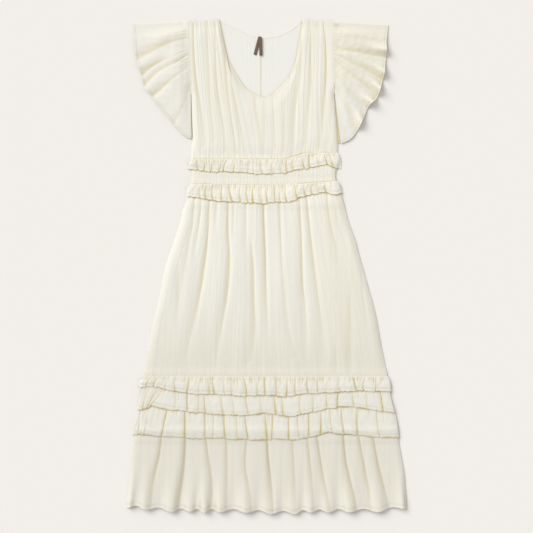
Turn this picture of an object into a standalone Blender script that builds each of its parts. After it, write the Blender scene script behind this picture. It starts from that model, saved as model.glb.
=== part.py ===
"""A ruffled midi dress laid flat, face up, modelled as the cloth pieces that are sewn into it.

X runs across the dress, Y from hem to shoulders and Z up from the surface it lies on.
The origin is under the middle of its outline. Tables are in millimetres.
"""

from collections import namedtuple

import bmesh
import bpy
import numpy as np
from mathutils import Vector
from mathutils.bvhtree import BVHTree

# Driving sizes
MM = 0.001
LENGTH = 1210.0
HEM_WIDTH = 688.0
CLOTH = 1.2
SEAM = 0.3

# How high the front lies above the back between its folds: free, at the waist, under the tiers
CROWN, BAND_CROWN, HIDDEN_CROWN = 3.4, 1.0, 1.0
# A panel rolls down over this width at its sides, and a wide stretch between two folds puffs up
EDGE_ROLL, ROLL_SHARE = 9.0, 0.7
WIDEST_CELL, PUFF = 22.0, 1.15
# A fold's half width, and the share of the panel over which its ends fade out
FOLD_HALF_WIDTH, FOLD_FADE = 4.5, 0.2

# How the flounce and the sleeves stand up towards their free edges
FLOUNCE_TOP_LIFT, FLOUNCE_HEM_LIFT, FLOUNCE_LEAST_LIFT = 2.2, 6.5, 0.2
SLEEVE_SEAM_LIFT, SLEEVE_HEM_LIFT = 1.0, 8.0
# Between a sleeve's two layers, and how far its back layer stays inside the front one
SLEEVE_INSIDE, SLEEVE_BACK_INSET = 0.9, 3.0
# Gap between the bodice and a sleeve's free edge below the underarm
SLIT = 1.2

# A ruffle's lobe has two shoulders, as shares of its width and height, and is full from this width
LOBE_SHOULDERS = ((0.28, 0.9), (0.70, 1.0))
FULL_LOBE = 14.0
# The waistband's shirring: half ribs across it, and how low the cloth lies between two ribs
HALF_RIBS, RIB_VALLEY = 40, 0.35

# The back steps up over the pressed ruffle strips within this run
STEP_RUN = 8.0

CREAM = (0.84, 0.82, 0.70, 1.0)
BROWN = (0.10, 0.065, 0.045, 1.0)

# Outline of the body panels, from the shoulders to the hem
Level = namedtuple("Level", "y left right")
OUTLINE = [
    Level(604, -190, 163),
    Level(427, -185, 165),
    Level(310, -180, 175),
    Level(285, -184, 174),
    Level(261, -186, 173),
    Level(231, -183, 168),
    Level(212, -183, 168),
    Level(200, -185, 172),
    Level(172, -191, 184),
    Level(143, -203, 192),
    Level(104, -212, 202),
    Level(65, -224, 217),
    Level(26, -239, 227),
    Level(-14, -251, 239),
    Level(-53, -258, 249),
    Level(-92, -266, 261),
    Level(-131, -277, 270),
    Level(-180, -285, 278),
    Level(-240, -294, 290),
    Level(-270, -299, 296),
    Level(-310, -304, 301),
    Level(-356, -311, 309),
    Level(-398, -319, 318),
    Level(-454, -329, 328),
    Level(-503, -333, 337),
    Level(-552, -339, 341),
    Level(-584, -HEM_WIDTH / 2, HEM_WIDTH / 2),
    Level(-LENGTH / 2, -HEM_WIDTH / 2, HEM_WIDTH / 2),
]

# Lines across the dress, from left to right
Point = namedtuple("Point", "x y")
BODICE_SEAM = [Point(-195, 261), Point(45, 261), Point(94, 276), Point(185, 278)]
SKIRT_SEAM = [Point(-195, 200), Point(80, 201), Point(185, 209)]
BACK_BODICE_SEAM_Y, BACK_SKIRT_SEAM_Y = 261.0, 200.0
FLOUNCE_SEAM_Y = -398.0
HEM = [
    Point(-344, -589),
    Point(-240, -594),
    Point(-100, -597),
    Point(20, -601),
    Point(110, -598),
    Point(240, -594),
    Point(344, -590),
]
HEM_SCALLOP = 4.0
CENTRE_BACK = -14.0
BACK_NECK = [
    Point(-190, 598),
    Point(-153, 602),
    Point(-116, LENGTH / 2),
    Point(-90, 590),
    Point(-62, 578),
    Point(-38, 567),
    Point(CENTRE_BACK, 561),
    Point(25, 565),
    Point(53, 576),
    Point(71, 588),
    Point(89, LENGTH / 2),
    Point(126, 602),
    Point(163, 599),
]

# Heights on the armhole side of the rows of both bodice panels
BODICE_LEVELS = [598, 556, 500, 427, 368, 310, 285, 272, 261]
UNDERARM_Y = 427.0

# Top edge of the front bodice: each point, and how far across the waist its thread ends
Strand = namedtuple("Strand", "waist x y")
FRONT_TOP = [
    Strand(0.00, -190, 598),
    Strand(0.33, -116, LENGTH / 2),
    Strand(0.355, -104, 552),
    Strand(0.38, -94, 504),
    Strand(0.41, -72, 467),
    Strand(0.44, -53, 436),
    Strand(0.47, -28, 418),
    Strand(0.51, -7, 412),
    Strand(0.55, 13, 418),
    Strand(0.60, 38, 444),
    Strand(0.635, 58, 467),
    Strand(0.655, 72, 504),
    Strand(0.675, 82, 560),
    Strand(0.69, 89, LENGTH / 2),
    Strand(1.00, 163, 599),
]

# Folds of a panel: where across it each one starts and ends, from how far down to how far, how deep
Fold = namedtuple("Fold", "top bottom start end depth")
BODICE_FOLDS = [
    Fold(0.100, 0.100, 0.0, 1.0, 3.0),
    Fold(0.190, 0.190, 0.0, 1.0, 2.4),
    Fold(0.260, 0.260, 0.0, 1.0, 2.8),
    Fold(0.325, 0.325, 0.0, 1.0, 2.6),
    Fold(0.390, 0.385, 0.0, 1.0, 2.0),
    Fold(0.455, 0.440, 0.2, 1.0, 1.8),
    Fold(0.505, 0.505, 0.1, 1.0, 2.2),
    Fold(0.565, 0.565, 0.2, 1.0, 1.6),
    Fold(0.625, 0.625, 0.2, 1.0, 1.8),
    Fold(0.700, 0.695, 0.0, 1.0, 2.6),
    Fold(0.780, 0.780, 0.0, 1.0, 2.8),
    Fold(0.880, 0.880, 0.0, 1.0, 3.0),
    Fold(0.945, 0.940, 0.4, 1.0, 2.0),
]
SKIRT_FOLDS = [
    Fold(0.055, 0.085, 0.00, 0.45, 2.2),
    Fold(0.105, 0.125, 0.00, 0.30, 2.2),
    Fold(0.155, 0.175, 0.00, 0.90, 3.0),
    Fold(0.205, 0.235, 0.00, 0.15, 1.8),
    Fold(0.275, 0.300, 0.00, 0.90, 3.2),
    Fold(0.330, 0.365, 0.00, 0.25, 2.0),
    Fold(0.385, 0.410, 0.00, 0.30, 2.4),
    Fold(0.435, 0.450, 0.25, 0.95, 2.4),
    Fold(0.490, 0.515, 0.00, 0.70, 3.4),
    Fold(0.540, 0.565, 0.00, 0.15, 1.6),
    Fold(0.590, 0.625, 0.00, 0.95, 2.6),
    Fold(0.650, 0.655, 0.00, 0.20, 1.6),
    Fold(0.710, 0.685, 0.00, 0.90, 3.2),
    Fold(0.765, 0.755, 0.00, 0.85, 2.8),
    Fold(0.830, 0.830, 0.00, 0.20, 1.8),
    Fold(0.895, 0.880, 0.00, 0.90, 2.4),
    Fold(0.960, 0.955, 0.05, 0.60, 1.6),
]
FLOUNCE_FOLDS = [
    Fold(0.100, 0.088, 0.0, 1.0, 5.5),
    Fold(0.191, 0.190, 0.0, 1.0, 6.5),
    Fold(0.262, 0.312, 0.0, 1.0, 5.0),
    Fold(0.343, 0.359, 0.0, 1.0, 4.0),
    Fold(0.430, 0.445, 0.0, 1.0, 4.5),
    Fold(0.502, 0.523, 0.0, 1.0, 6.5),
    Fold(0.598, 0.605, 0.0, 1.0, 4.0),
    Fold(0.652, 0.668, 0.0, 1.0, 4.5),
    Fold(0.690, 0.727, 0.0, 1.0, 5.5),
    Fold(0.793, 0.823, 0.0, 1.0, 6.0),
    Fold(0.848, 0.865, 0.0, 1.0, 5.0),
    Fold(0.905, 0.936, 0.0, 1.0, 6.0),
]

# Rows of the skirt front and of the flounce, and the skirt's crown down the dress
SKIRT_LEVELS = [200, 186, 160, 125, 70, 0, -80, -160, -225, -262, -285, -340, FLOUNCE_SEAM_Y + SEAM]
SKIRT_FOLDS_END = -250.0
SKIRT_CROWN = [
    Point(-200, BAND_CROWN),
    Point(-150, 1.6),
    Point(-100, CROWN),
    Point(240, CROWN),
    Point(270, HIDDEN_CROWN),
]
BODICE_CROWN = [Point(0.0, 1.2), Point(0.12, CROWN), Point(0.85, CROWN), Point(1.0, BAND_CROWN)]
FLOUNCE_ROWS = [0.0, 0.12, 0.35, 0.6, 0.82, 1.0]

# Gathers of a ruffle: where each valley starts at the seam, where it reaches the free edge, how deep
Gather = namedtuple("Gather", "seam edge depth")
UPPER_GATHERS = [
    Gather(-166, -168, 0.7),
    Gather(-152, -154, 0.9),
    Gather(-136, -137, 0.9),
    Gather(-113, -117, 1.0),
    Gather(-99, -106, 0.8),
    Gather(-79, -82, 1.0),
    Gather(-60, -60, 0.6),
    Gather(-46, -46, 0.7),
    Gather(-31, -32, 0.5),
    Gather(-13, -11, 0.8),
    Gather(16, 14, 0.8),
    Gather(34, 37, 0.5),
    Gather(49, 50, 1.0),
    Gather(68, 65, 0.7),
    Gather(91, 92, 0.8),
    Gather(103, 104, 1.0),
    Gather(122, 130, 0.7),
    Gather(140, 149, 0.9),
    Gather(155, 163, 0.9),
]
LOWER_GATHERS = [
    Gather(-160, -163, 0.7),
    Gather(-147, -149, 0.8),
    Gather(-131, -132, 1.0),
    Gather(-110, -110, 0.9),
    Gather(-89, -84, 1.0),
    Gather(-66, -64, 0.8),
    Gather(-49, -46, 0.8),
    Gather(-34, -33, 1.0),
    Gather(-15, -13, 0.6),
    Gather(-3, 2, 1.0),
    Gather(17, 20, 0.8),
    Gather(32, 33, 0.7),
    Gather(47, 49, 0.9),
    Gather(73, 75, 1.0),
    Gather(92, 96, 0.8),
    Gather(110, 111, 0.8),
    Gather(129, 128, 0.5),
    Gather(143, 147, 0.9),
]
TOP_TIER_GATHERS = [
    Gather(-286, -295, 0.7),
    Gather(-262, -277, 1.0),
    Gather(-240, -248, 0.6),
    Gather(-221, -224, 0.8),
    Gather(-190, -195, 0.8),
    Gather(-163, -165, 0.5),
    Gather(-141, -140, 0.7),
    Gather(-131, -127, 1.0),
    Gather(-104, -102, 0.5),
    Gather(-84, -85, 0.7),
    Gather(-57, -49, 0.9),
    Gather(-25, -23, 0.7),
    Gather(-5, -4, 1.0),
    Gather(23, 23, 0.8),
    Gather(49, 49, 1.0),
    Gather(70, 70, 0.7),
    Gather(99, 102, 0.8),
    Gather(125, 126, 0.8),
    Gather(147, 145, 0.6),
    Gather(178, 178, 0.7),
    Gather(212, 220, 1.0),
    Gather(241, 237, 0.7),
    Gather(266, 266, 0.6),
]
MIDDLE_TIER_GATHERS = [
    Gather(-240, -284, 1.0),
    Gather(-222, -226, 0.5),
    Gather(-192, -194, 0.9),
    Gather(-165, -168, 0.6),
    Gather(-148, -150, 0.9),
    Gather(-107, -107, 0.6),
    Gather(-81, -79, 0.4),
    Gather(-57, -44, 0.9),
    Gather(-16, -14, 0.5),
    Gather(23, 23, 1.0),
    Gather(43, 40, 0.7),
    Gather(82, 82, 0.7),
    Gather(115, 113, 0.6),
    Gather(151, 147, 0.6),
    Gather(180, 172, 0.9),
    Gather(214, 214, 0.8),
    Gather(246, 246, 0.6),
    Gather(275, 285, 0.8),
]
BOTTOM_TIER_GATHERS = [
    Gather(-286, -300, 0.5),
    Gather(-239, -257, 1.0),
    Gather(-200, -200, 1.0),
    Gather(-154, -152, 0.8),
    Gather(-130, -132, 0.5),
    Gather(-102, -101, 0.8),
    Gather(-75, -72, 0.5),
    Gather(-53, -45, 0.9),
    Gather(-4, 2, 1.0),
    Gather(15, 12, 0.8),
    Gather(52, 54, 0.8),
    Gather(75, 80, 0.5),
    Gather(103, 103, 0.8),
    Gather(132, 132, 1.0),
    Gather(158, 160, 0.6),
    Gather(182, 190, 0.8),
    Gather(222, 222, 1.0),
    Gather(270, 276, 0.7),
]

# Free edges of the ruffles, from left to right
UPPER_EDGE = [
    Point(-195, 238),
    Point(-126, 232),
    Point(-28, 228),
    Point(45, 229),
    Point(82, 237),
    Point(153, 249),
    Point(168, 241),
    Point(183, 240),
]
LOWER_EDGE = [
    Point(-195, 171),
    Point(-155, 166),
    Point(-114, 159),
    Point(-11, 154),
    Point(57, 158),
    Point(82, 168),
    Point(143, 182),
    Point(168, 175),
    Point(187, 181),
]
TOP_TIER_EDGE = [
    Point(-317, -294),
    Point(-266, -292),
    Point(-241, -301),
    Point(-202, -309),
    Point(-65, -316),
    Point(50, -316),
    Point(102, -309),
    Point(224, -305),
    Point(306, -303),
]
MIDDLE_TIER_EDGE = [
    Point(-316, -349),
    Point(-290, -348),
    Point(-283, -341),
    Point(-231, -351),
    Point(-138, -360),
    Point(-45, -364),
    Point(-6, -359),
    Point(57, -366),
    Point(111, -356),
    Point(156, -344),
    Point(229, -343),
    Point(278, -354),
    Point(314, -355),
]
BOTTOM_TIER_EDGE = [
    Point(-326, -409),
    Point(-280, -415),
    Point(-65, -422),
    Point(82, -422),
    Point(131, -413),
    Point(151, -404),
    Point(175, -408),
    Point(258, -417),
    Point(325, -418),
]

# A ruffle: its seam, how far its ends stand out, its free edge, its gathers and its lift
Row = namedtuple("Row", "down lift")
RUFFLE_ROWS = [Row(0.0, 0.18), Row(0.5, 0.65), Row(1.0, 1.0)]
Ruffle = namedtuple("Ruffle", "name seam left right edge gathers lift scallop carriers")
RUFFLES = [
    Ruffle(
        "waist_ruffle_upper",
        BODICE_SEAM,
        -187,
        174,
        UPPER_EDGE,
        UPPER_GATHERS,
        3.4,
        2.0,
        "waistband_front",
    ),
    Ruffle(
        "waist_ruffle_lower",
        SKIRT_SEAM,
        -187,
        174,
        LOWER_EDGE,
        LOWER_GATHERS,
        3.4,
        2.0,
        "skirt_front",
    ),
    Ruffle(
        "tier_ruffle_bottom",
        [Point(-330, -332), Point(330, -332)],
        -307,
        305,
        BOTTOM_TIER_EDGE,
        BOTTOM_TIER_GATHERS,
        3.8,
        1.5,
        "skirt_front flounce_front",
    ),
    Ruffle(
        "tier_ruffle_middle",
        [Point(-330, -283), Point(330, -283)],
        -301,
        298,
        MIDDLE_TIER_EDGE,
        MIDDLE_TIER_GATHERS,
        3.6,
        1.5,
        "skirt_front tier_ruffle_bottom_front",
    ),
    Ruffle(
        "tier_ruffle_top",
        [Point(-330, -270), Point(330, -270)],
        -299,
        297,
        TOP_TIER_EDGE,
        TOP_TIER_GATHERS,
        3.4,
        1.5,
        "skirt_front tier_ruffle_middle_front",
    ),
]

# The pressed strips under the back: the ruffle, and where its strip starts and ends down the dress
Strip = namedtuple("Strip", "name top bottom overhang")
BACK_STRIPS = [
    Strip("waist_ruffle_upper_back", 260, 233, 8),
    Strip("waist_ruffle_lower_back", 200, 162, 5),
    Strip("tier_ruffle_top_back", -270, -305, 6),
    Strip("tier_ruffle_middle_back", -305, -352, 5),
    Strip("tier_ruffle_bottom_back", -352, -414, 6),
]
# Points across a strip, and its overhang at its top and its bottom as shares of the whole
STRIP_COLUMNS, STRIP_FLARE = 11, np.array([[0.2], [1.0]])
# The back's underside is raised over these stretches
RAISED = [(266, 227), (206, 156), (-264, -420)]
# Heights of the rows of the back panels below the bodice
BACK_LEVELS = {
    "waistband_back": [BACK_BODICE_SEAM_Y, 227, 219, BACK_SKIRT_SEAM_Y],
    "skirt_back": [BACK_SKIRT_SEAM_Y, 156, 148, 40, -60, -160, -256, -264, -330, FLOUNCE_SEAM_Y],
    "flounce_back": [FLOUNCE_SEAM_Y, -420, -428, -480, -540, -LENGTH / 2],
}

# Columns of each of those panels
BACK_COLUMNS = 13

# Sections of a sleeve from its top fold to the underarm: height on the armhole,
# place on the hem, and how high the cloth stands there as a share of the full lift
Section = namedtuple("Section", "armhole_y hem_x hem_y middle hem")
LEFT_SLEEVE = [
    Section(599, -327, 592, 0.10, 0.10),
    Section(586, -324, 568, 0.55, 0.35),
    Section(572, -322, 544, 0.80, 0.60),
    Section(560, -321, 520, 0.25, 0.40),
    Section(546, -317, 500, 0.85, 0.95),
    Section(531, -309, 476, 0.35, 0.05),
    Section(523, -305, 460, 0.75, 0.85),
    Section(514, -301, 441, 0.30, 0.20),
    Section(501, -290, 427, 0.85, 0.95),
    Section(485, -276, 411, 0.20, 0.05),
    Section(466, -252, 380, 0.75, 0.80),
    Section(446, -226, 344, 0.45, 0.35),
    Section(434, -204, 318, 0.60, 0.60),
    Section(427, -189, 313, 0.30, 0.20),
]
RIGHT_SLEEVE = [
    Section(597, 298, 590, 0.10, 0.15),
    Section(584, 296, 572, 0.45, 0.45),
    Section(570, 293, 550, 0.60, 0.60),
    Section(548, 293, 528, 0.85, 1.00),
    Section(536, 292, 509, 0.25, 0.25),
    Section(528, 290, 489, 0.75, 0.95),
    Section(519, 286, 462, 0.30, 0.25),
    Section(511, 279, 438, 0.75, 0.95),
    Section(500, 270, 408, 0.30, 0.20),
    Section(484, 251, 396, 0.80, 0.95),
    Section(464, 237, 362, 0.60, 0.55),
    Section(450, 220, 328, 0.15, 0.20),
    Section(440, 205, 310, 0.65, 0.80),
    Section(431, 185, 301, 0.30, 0.25),
]

# Columns of a sleeve's back layer, as places in its table, and its rows from the armhole to the hem
SLEEVE_BACK_PLACES = [13.0, 11.5, 10.0, 8.5, 6.5, 4.5, 2.5, 1.0]
SLEEVE_ROWS = [0.0, 0.25, 0.5, 0.75, 0.9, 1.0]

# The folded ribbon at the back of the neck: its outline, tail by tail
RIBBON = [
    Point(-20, 562),
    Point(-12, 562),
    Point(-10, 517),
    Point(-17, 516),
    Point(-17, 541),
    Point(-24, 517),
    Point(-32, 520),
]


def clear_scene():
    """Remove the objects of the start-up scene."""
    for thing in list(bpy.data.objects):
        bpy.data.objects.remove(thing)


def finish_of(name, colour, roughness):
    """One plain material for a sub-part."""
    material = bpy.data.materials.new(name + "_finish")
    material.use_nodes = True
    shader = material.node_tree.nodes["Principled BSDF"]
    shader.inputs["Base Color"].default_value = colour
    shader.inputs["Roughness"].default_value = roughness
    shader.inputs["Metallic"].default_value = 0.0
    return material


def along(points, x):
    """Height of a line of points at each x, straight between them."""
    return np.interp(x, [p.x for p in points], [p.y for p in points])


def left_edge(y):
    return np.interp(y, [row.y for row in OUTLINE[::-1]], [row.left for row in OUTLINE[::-1]])


def right_edge(y):
    return np.interp(y, [row.y for row in OUTLINE[::-1]], [row.right for row in OUTLINE[::-1]])


def between(start, end, share):
    return start + (end - start) * share


def window(down, start, end):
    """A fold's strength down a panel: full between its ends, and fading out beyond them."""
    before = np.clip((down - start) / FOLD_FADE + 1.0, 0.0, 1.0)
    after = np.clip((end - down) / FOLD_FADE + 1.0, 0.0, 1.0)
    return before * after


def back_floor(y):
    """Underside of the back: on the surface, and one layer up over the pressed ruffle strips."""
    height = np.zeros_like(y)
    for top, bottom in RAISED:
        above = np.clip((top + STEP_RUN - y) / STEP_RUN, 0, 1)
        below = np.clip((y - bottom + STEP_RUN) / STEP_RUN, 0, 1)
        height = np.maximum(height, above * below * (CLOTH + SEAM))
    return height


class Dress:
    """The pieces made so far, each with a tree of its faces for laying the next one on it."""

    def __init__(self):
        self.collection = bpy.data.collections.new("ruffled_dress")
        bpy.context.scene.collection.children.link(self.collection)
        self.trees = {}
        self.backs = []

    def add(self, name, bm, colour=CREAM, roughness=0.9):
        """Turn a finished bmesh into a named object with its own material."""
        bmesh.ops.recalc_face_normals(bm, faces=bm.faces[:])
        self.trees[name] = BVHTree.FromBMesh(bm)
        mesh = bpy.data.meshes.new(name)
        bm.to_mesh(mesh)
        bm.free()
        mesh.materials.append(finish_of(name, colour, roughness))
        self.collection.objects.link(bpy.data.objects.new(name, mesh))

    def top_at(self, x, y, beneath):
        """Height of the highest of the pieces beneath at each place, 0 where there is none."""
        height = np.zeros(x.shape)
        down = Vector((0.0, 0.0, -1.0))
        for place in np.ndindex(x.shape):
            start = Vector((x[place] * MM, y[place] * MM, 1.0))
            for name in beneath:
                hit = self.trees[name].ray_cast(start, down)[0]
                if hit is not None:
                    height[place] = max(height[place], hit.z / MM)
        return height

    def rest_on(self, x, y, beneath):
        """The lowest that each grid point may lie, so that no cell round it cuts what is beneath."""
        fine = self.top_at(halved(x), halved(y), beneath)
        rows, columns = fine.shape
        padded = np.pad(fine, 2, mode="edge")
        windows = [padded[i : i + rows, j : j + columns] for i in range(5) for j in range(5)]
        return np.max(windows, axis=0)[::2, ::2] + SEAM


def halved(grid):
    """A grid with a new value half way between each two neighbours, both ways."""
    for axis in (0, 1):
        grid = np.moveaxis(grid, axis, 0)
        finer = np.empty((2 * len(grid) - 1,) + grid.shape[1:])
        finer[::2] = grid
        finer[1::2] = (grid[1:] + grid[:-1]) / 2
        grid = np.moveaxis(finer, 0, axis)
    return grid


def wall(inner, thickness):
    """A closed wall: a grid moved onto the inner points, then extruded by a thickness for each point."""
    rows, columns = inner.shape[:2]
    bm = bmesh.new()
    bmesh.ops.create_grid(bm, x_segments=columns - 1, y_segments=rows - 1, size=1.0)
    moves = {}
    for vert in bm.verts:
        column = round((vert.co.x + 1) / 2 * (columns - 1))
        row = round((1 - vert.co.y) / 2 * (rows - 1))
        vert.co = Vector(inner[row, column]) * MM
        moves[tuple(vert.co)] = Vector(thickness[row, column]) * MM
    raised = bmesh.ops.extrude_face_region(bm, geom=bm.faces[:], use_keep_orig=True)["geom"]
    for item in raised:
        if isinstance(item, bmesh.types.BMVert):
            item.co = item.co + moves[tuple(item.co)]
    return bm


def flat_piece(dress, name, x, y, low):
    """A piece of cloth one layer thick, standing on its low side."""
    inner = np.stack([x, y, low], axis=-1)
    thickness = np.zeros_like(inner)
    thickness[..., 2] = CLOTH
    dress.add(name, wall(inner, thickness))


def lay(dress, name, x, y, lift, beneath):
    """A piece of cloth laid on the ones beneath it, standing up from them by its lift."""
    flat_piece(dress, name, x, y, dress.rest_on(x, y, beneath) + lift)


# A column of a panel: its place across the top and the bottom, its share of the crown, and its fold
Column = namedtuple("Column", "top bottom share fold")


def fold_columns(folds, width):
    """Columns of a panel: its rolled edges, both brows and the valley of each fold, and the puffed gaps."""
    roll, half = EDGE_ROLL / 2 / width, FOLD_HALF_WIDTH / width
    columns = [Column(0.0, 0.0, 0.0, None), Column(roll, roll, ROLL_SHARE, None)]
    for fold in folds:
        columns.append(Column(fold.top - half, fold.bottom - half, 1.0, None))
        columns.append(Column(fold.top, fold.bottom, 1.0, fold))
        columns.append(Column(fold.top + half, fold.bottom + half, 1.0, None))
    columns += [Column(1 - roll, 1 - roll, ROLL_SHARE, None), Column(1.0, 1.0, 0.0, None)]
    filled = [columns[0]]
    for column in columns[1:]:
        last = filled[-1]
        if (column.top - last.top + column.bottom - last.bottom) / 2 * width > WIDEST_CELL:
            filled.append(Column((column.top + last.top) / 2, (column.bottom + last.bottom) / 2, PUFF, None))
        filled.append(column)
    return filled


def folded_panel(columns, down, crown):
    """Place across and lift of each grid point of a panel with folds, for rows down it."""
    across = np.array([[between(column.top, column.bottom, v) for column in columns] for v in down])
    lift = crown[:, None] * np.array([column.share for column in columns])
    for j, column in enumerate(columns):
        if column.fold is not None:
            lift[:, j] -= column.fold.depth * window(down, column.fold.start, column.fold.end)
    return across, np.maximum(lift, 0.0)


def bodice_rows(top_y, seam_y):
    """Heights of the bodice's rows at each column, from its top edge down to the waist seam."""
    levels = np.array(BODICE_LEVELS, dtype=float)[:, None]
    down = (levels[0] - levels) / (levels[0] - levels[-1])
    below = np.clip((UNDERARM_Y - levels) / (UNDERARM_Y - levels[-1]), 0, 1)
    return down, between(top_y, levels[-1], down) + (seam_y + SEAM - levels[-1]) * below


def back_bodice(dress):
    """Two halves: the side edges follow the body's outline, and the centre-back seam is straight."""
    for name, side in (("back_bodice_left", -1), ("back_bodice_right", 1)):
        half = [point for point in BACK_NECK if side * (point.x - CENTRE_BACK) >= 0]
        top_x, top_y = np.array(half, dtype=float).T
        y = bodice_rows(top_y, BACK_BODICE_SEAM_Y)[1]
        start = left_edge(y) + SEAM if side < 0 else CENTRE_BACK + SEAM / 2
        end = CENTRE_BACK - SEAM / 2 if side < 0 else right_edge(y) - SEAM
        x = between(start, end, (top_x - top_x[0]) / (top_x[-1] - top_x[0]))
        flat_piece(dress, name, x, y, np.zeros_like(x))


def back_ruffles(dress):
    """The back halves of the ruffles, pressed flat under the back."""
    for strip in BACK_STRIPS:
        y = np.tile([[strip.top - SEAM], [strip.bottom]], (1, STRIP_COLUMNS))
        overhang = strip.overhang * STRIP_FLARE
        x = between(left_edge(y) - overhang, right_edge(y) + overhang, np.linspace(0, 1, STRIP_COLUMNS))
        flat_piece(dress, strip.name, x, y, np.zeros_like(x))


def back_panels(dress):
    """Waistband, skirt and flounce of the back, stepped up over the pressed ruffles."""
    across = np.linspace(0, 1, BACK_COLUMNS)
    for name, levels in BACK_LEVELS.items():
        y = np.tile(np.array(levels, dtype=float)[:, None], (1, BACK_COLUMNS))
        y[0] -= SEAM
        if name == "flounce_back":
            y[-1] = along(HEM, between(-HEM_WIDTH / 2, HEM_WIDTH / 2, across))
        x = between(left_edge(y) + SEAM, right_edge(y) - SEAM, across)
        flat_piece(dress, name, x, y, back_floor(y))


def front_bodice(dress):
    """The front bodice: threads run from the shoulders and neckline to the gathered waist."""
    columns = fold_columns(BODICE_FOLDS, right_edge(UNDERARM_Y) - left_edge(UNDERARM_Y))
    marks = [strand.waist for strand in FRONT_TOP]
    waist = np.array([column.bottom for column in columns])
    top_x = np.interp(waist, marks, [strand.x for strand in FRONT_TOP])
    top_y = np.interp(waist, marks, [strand.y for strand in FRONT_TOP])
    seam_x = between(left_edge(BODICE_LEVELS[-1]), right_edge(BODICE_LEVELS[-1]), waist)
    down, y = bodice_rows(top_y, along(BODICE_SEAM, seam_x))
    lift = folded_panel(columns, down[:, 0], along(BODICE_CROWN, down[:, 0]))[1]
    top_share = (top_x - left_edge(top_y)) / (right_edge(top_y) - left_edge(top_y))
    x = between(left_edge(y), right_edge(y), between(top_share, waist, down))
    lay(dress, "front_bodice", x, y, lift, dress.backs)


def waistband_front(dress):
    """The shirred band between the waist ruffles, with its gathers as shallow ribs."""
    across = np.linspace(0, 1, HALF_RIBS + 1)
    seam_x = between(OUTLINE[5].left, OUTLINE[5].right, across)
    top, bottom = along(BODICE_SEAM, seam_x) - SEAM, along(SKIRT_SEAM, seam_x) + SEAM
    y = between(top, bottom, np.array([[0.0], [0.5], [1.0]]))
    x = between(left_edge(y), right_edge(y), across)
    rib = np.where(np.arange(HALF_RIBS + 1) % 2, 1.0, RIB_VALLEY)
    rib[[0, -1]] = 0.0
    lay(dress, "waistband_front", x, y, np.tile(BAND_CROWN * rib, (3, 1)), dress.backs)


def skirt_front(dress):
    """The skirt front, with its long folds, plain and low where the tiers cover it."""
    levels = np.array(SKIRT_LEVELS, dtype=float)
    middle = (levels[0] + SKIRT_FOLDS_END) / 2
    columns = fold_columns(SKIRT_FOLDS, right_edge(middle) - left_edge(middle))
    down = (levels[0] - levels) / (levels[0] - SKIRT_FOLDS_END)
    across, lift = folded_panel(columns, down, along(SKIRT_CROWN, -levels))
    seam_x = between(left_edge(levels[0]), right_edge(levels[0]), across[0])
    y = np.tile(levels[:, None], (1, len(columns)))
    y[0] = along(SKIRT_SEAM, seam_x) - SEAM
    x = between(left_edge(y), right_edge(y), across)
    lay(dress, "skirt_front", x, y, lift, dress.backs)


def scallops(x, valleys):
    """0 at each valley and 1 half way between two of them."""
    marks = np.concatenate([[x.min()], valleys, [x.max()]])
    return np.abs(np.sin(np.pi * np.interp(x, marks, np.arange(len(marks)))))


def flounce_front(dress):
    """The hem flounce: folds that fan out and stand up towards the scalloped hem."""
    columns = fold_columns(FLOUNCE_FOLDS, HEM_WIDTH)
    down = np.array(FLOUNCE_ROWS)
    across, lift = folded_panel(columns, down, between(FLOUNCE_TOP_LIFT, FLOUNCE_HEM_LIFT, down))
    lift[:, 1:-1] = np.maximum(lift[:, 1:-1], FLOUNCE_LEAST_LIFT)
    hem_x = between(-HEM_WIDTH / 2, HEM_WIDTH / 2, across[-1])
    valleys = between(-HEM_WIDTH / 2, HEM_WIDTH / 2, np.array([fold.bottom for fold in FLOUNCE_FOLDS]))
    drop = HEM_SCALLOP * scallops(hem_x, valleys) - along(HEM, hem_x)
    share = (drop - drop.min()) / (drop.max() - drop.min())
    y = between(FLOUNCE_SEAM_Y - SEAM, -between(drop.min(), LENGTH / 2, share), down[:, None])
    x = between(left_edge(y), right_edge(y), across)
    lay(dress, "flounce_front", x, y, lift, dress.backs)


def ruffle_front(dress, ruffle):
    """One gathered ruffle: narrow valleys and round lobes that open out towards its free edge."""
    seams = [ruffle.left] + [gather.seam for gather in ruffle.gathers] + [ruffle.right]
    edges = [ruffle.edge[0].x] + [gather.edge for gather in ruffle.gathers] + [ruffle.edge[-1].x]
    depths = [1.0] + [gather.depth for gather in ruffle.gathers] + [1.0]
    seam_x, edge_x, wave = [], [], []
    for k in range(len(depths) - 1):
        full = min((edges[k + 1] - edges[k]) / FULL_LOBE, 1.0)
        for share, height in ((0.0, 1.0 - depths[k]),) + tuple((s, h * full) for s, h in LOBE_SHOULDERS):
            seam_x.append(between(seams[k], seams[k + 1], share))
            edge_x.append(between(edges[k], edges[k + 1], share))
            wave.append(height)
    seam_x, edge_x = np.array(seam_x + seams[-1:]), np.array(edge_x + edges[-1:])
    wave = np.array(wave + [0.0])
    down, rise = np.array(RUFFLE_ROWS).T[:, :, None]
    x = between(seam_x, edge_x, down)
    bottom = along(ruffle.edge, edge_x) - ruffle.scallop * (wave - 0.5)
    y = between(along(ruffle.seam, seam_x) - SEAM, bottom, down)
    beneath = dress.backs + ruffle.carriers.split()
    lay(dress, ruffle.name + "_front", x, y, ruffle.lift * wave * rise, beneath)


def smooth_between(values, place):
    """Values at whole places joined by half cosine waves."""
    values = np.asarray(values, dtype=float)
    low = np.clip(np.floor(place).astype(int), 0, len(values) - 2)
    share = (1 - np.cos(np.pi * (place - low))) / 2
    return between(values[low], values[low + 1], share)


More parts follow.
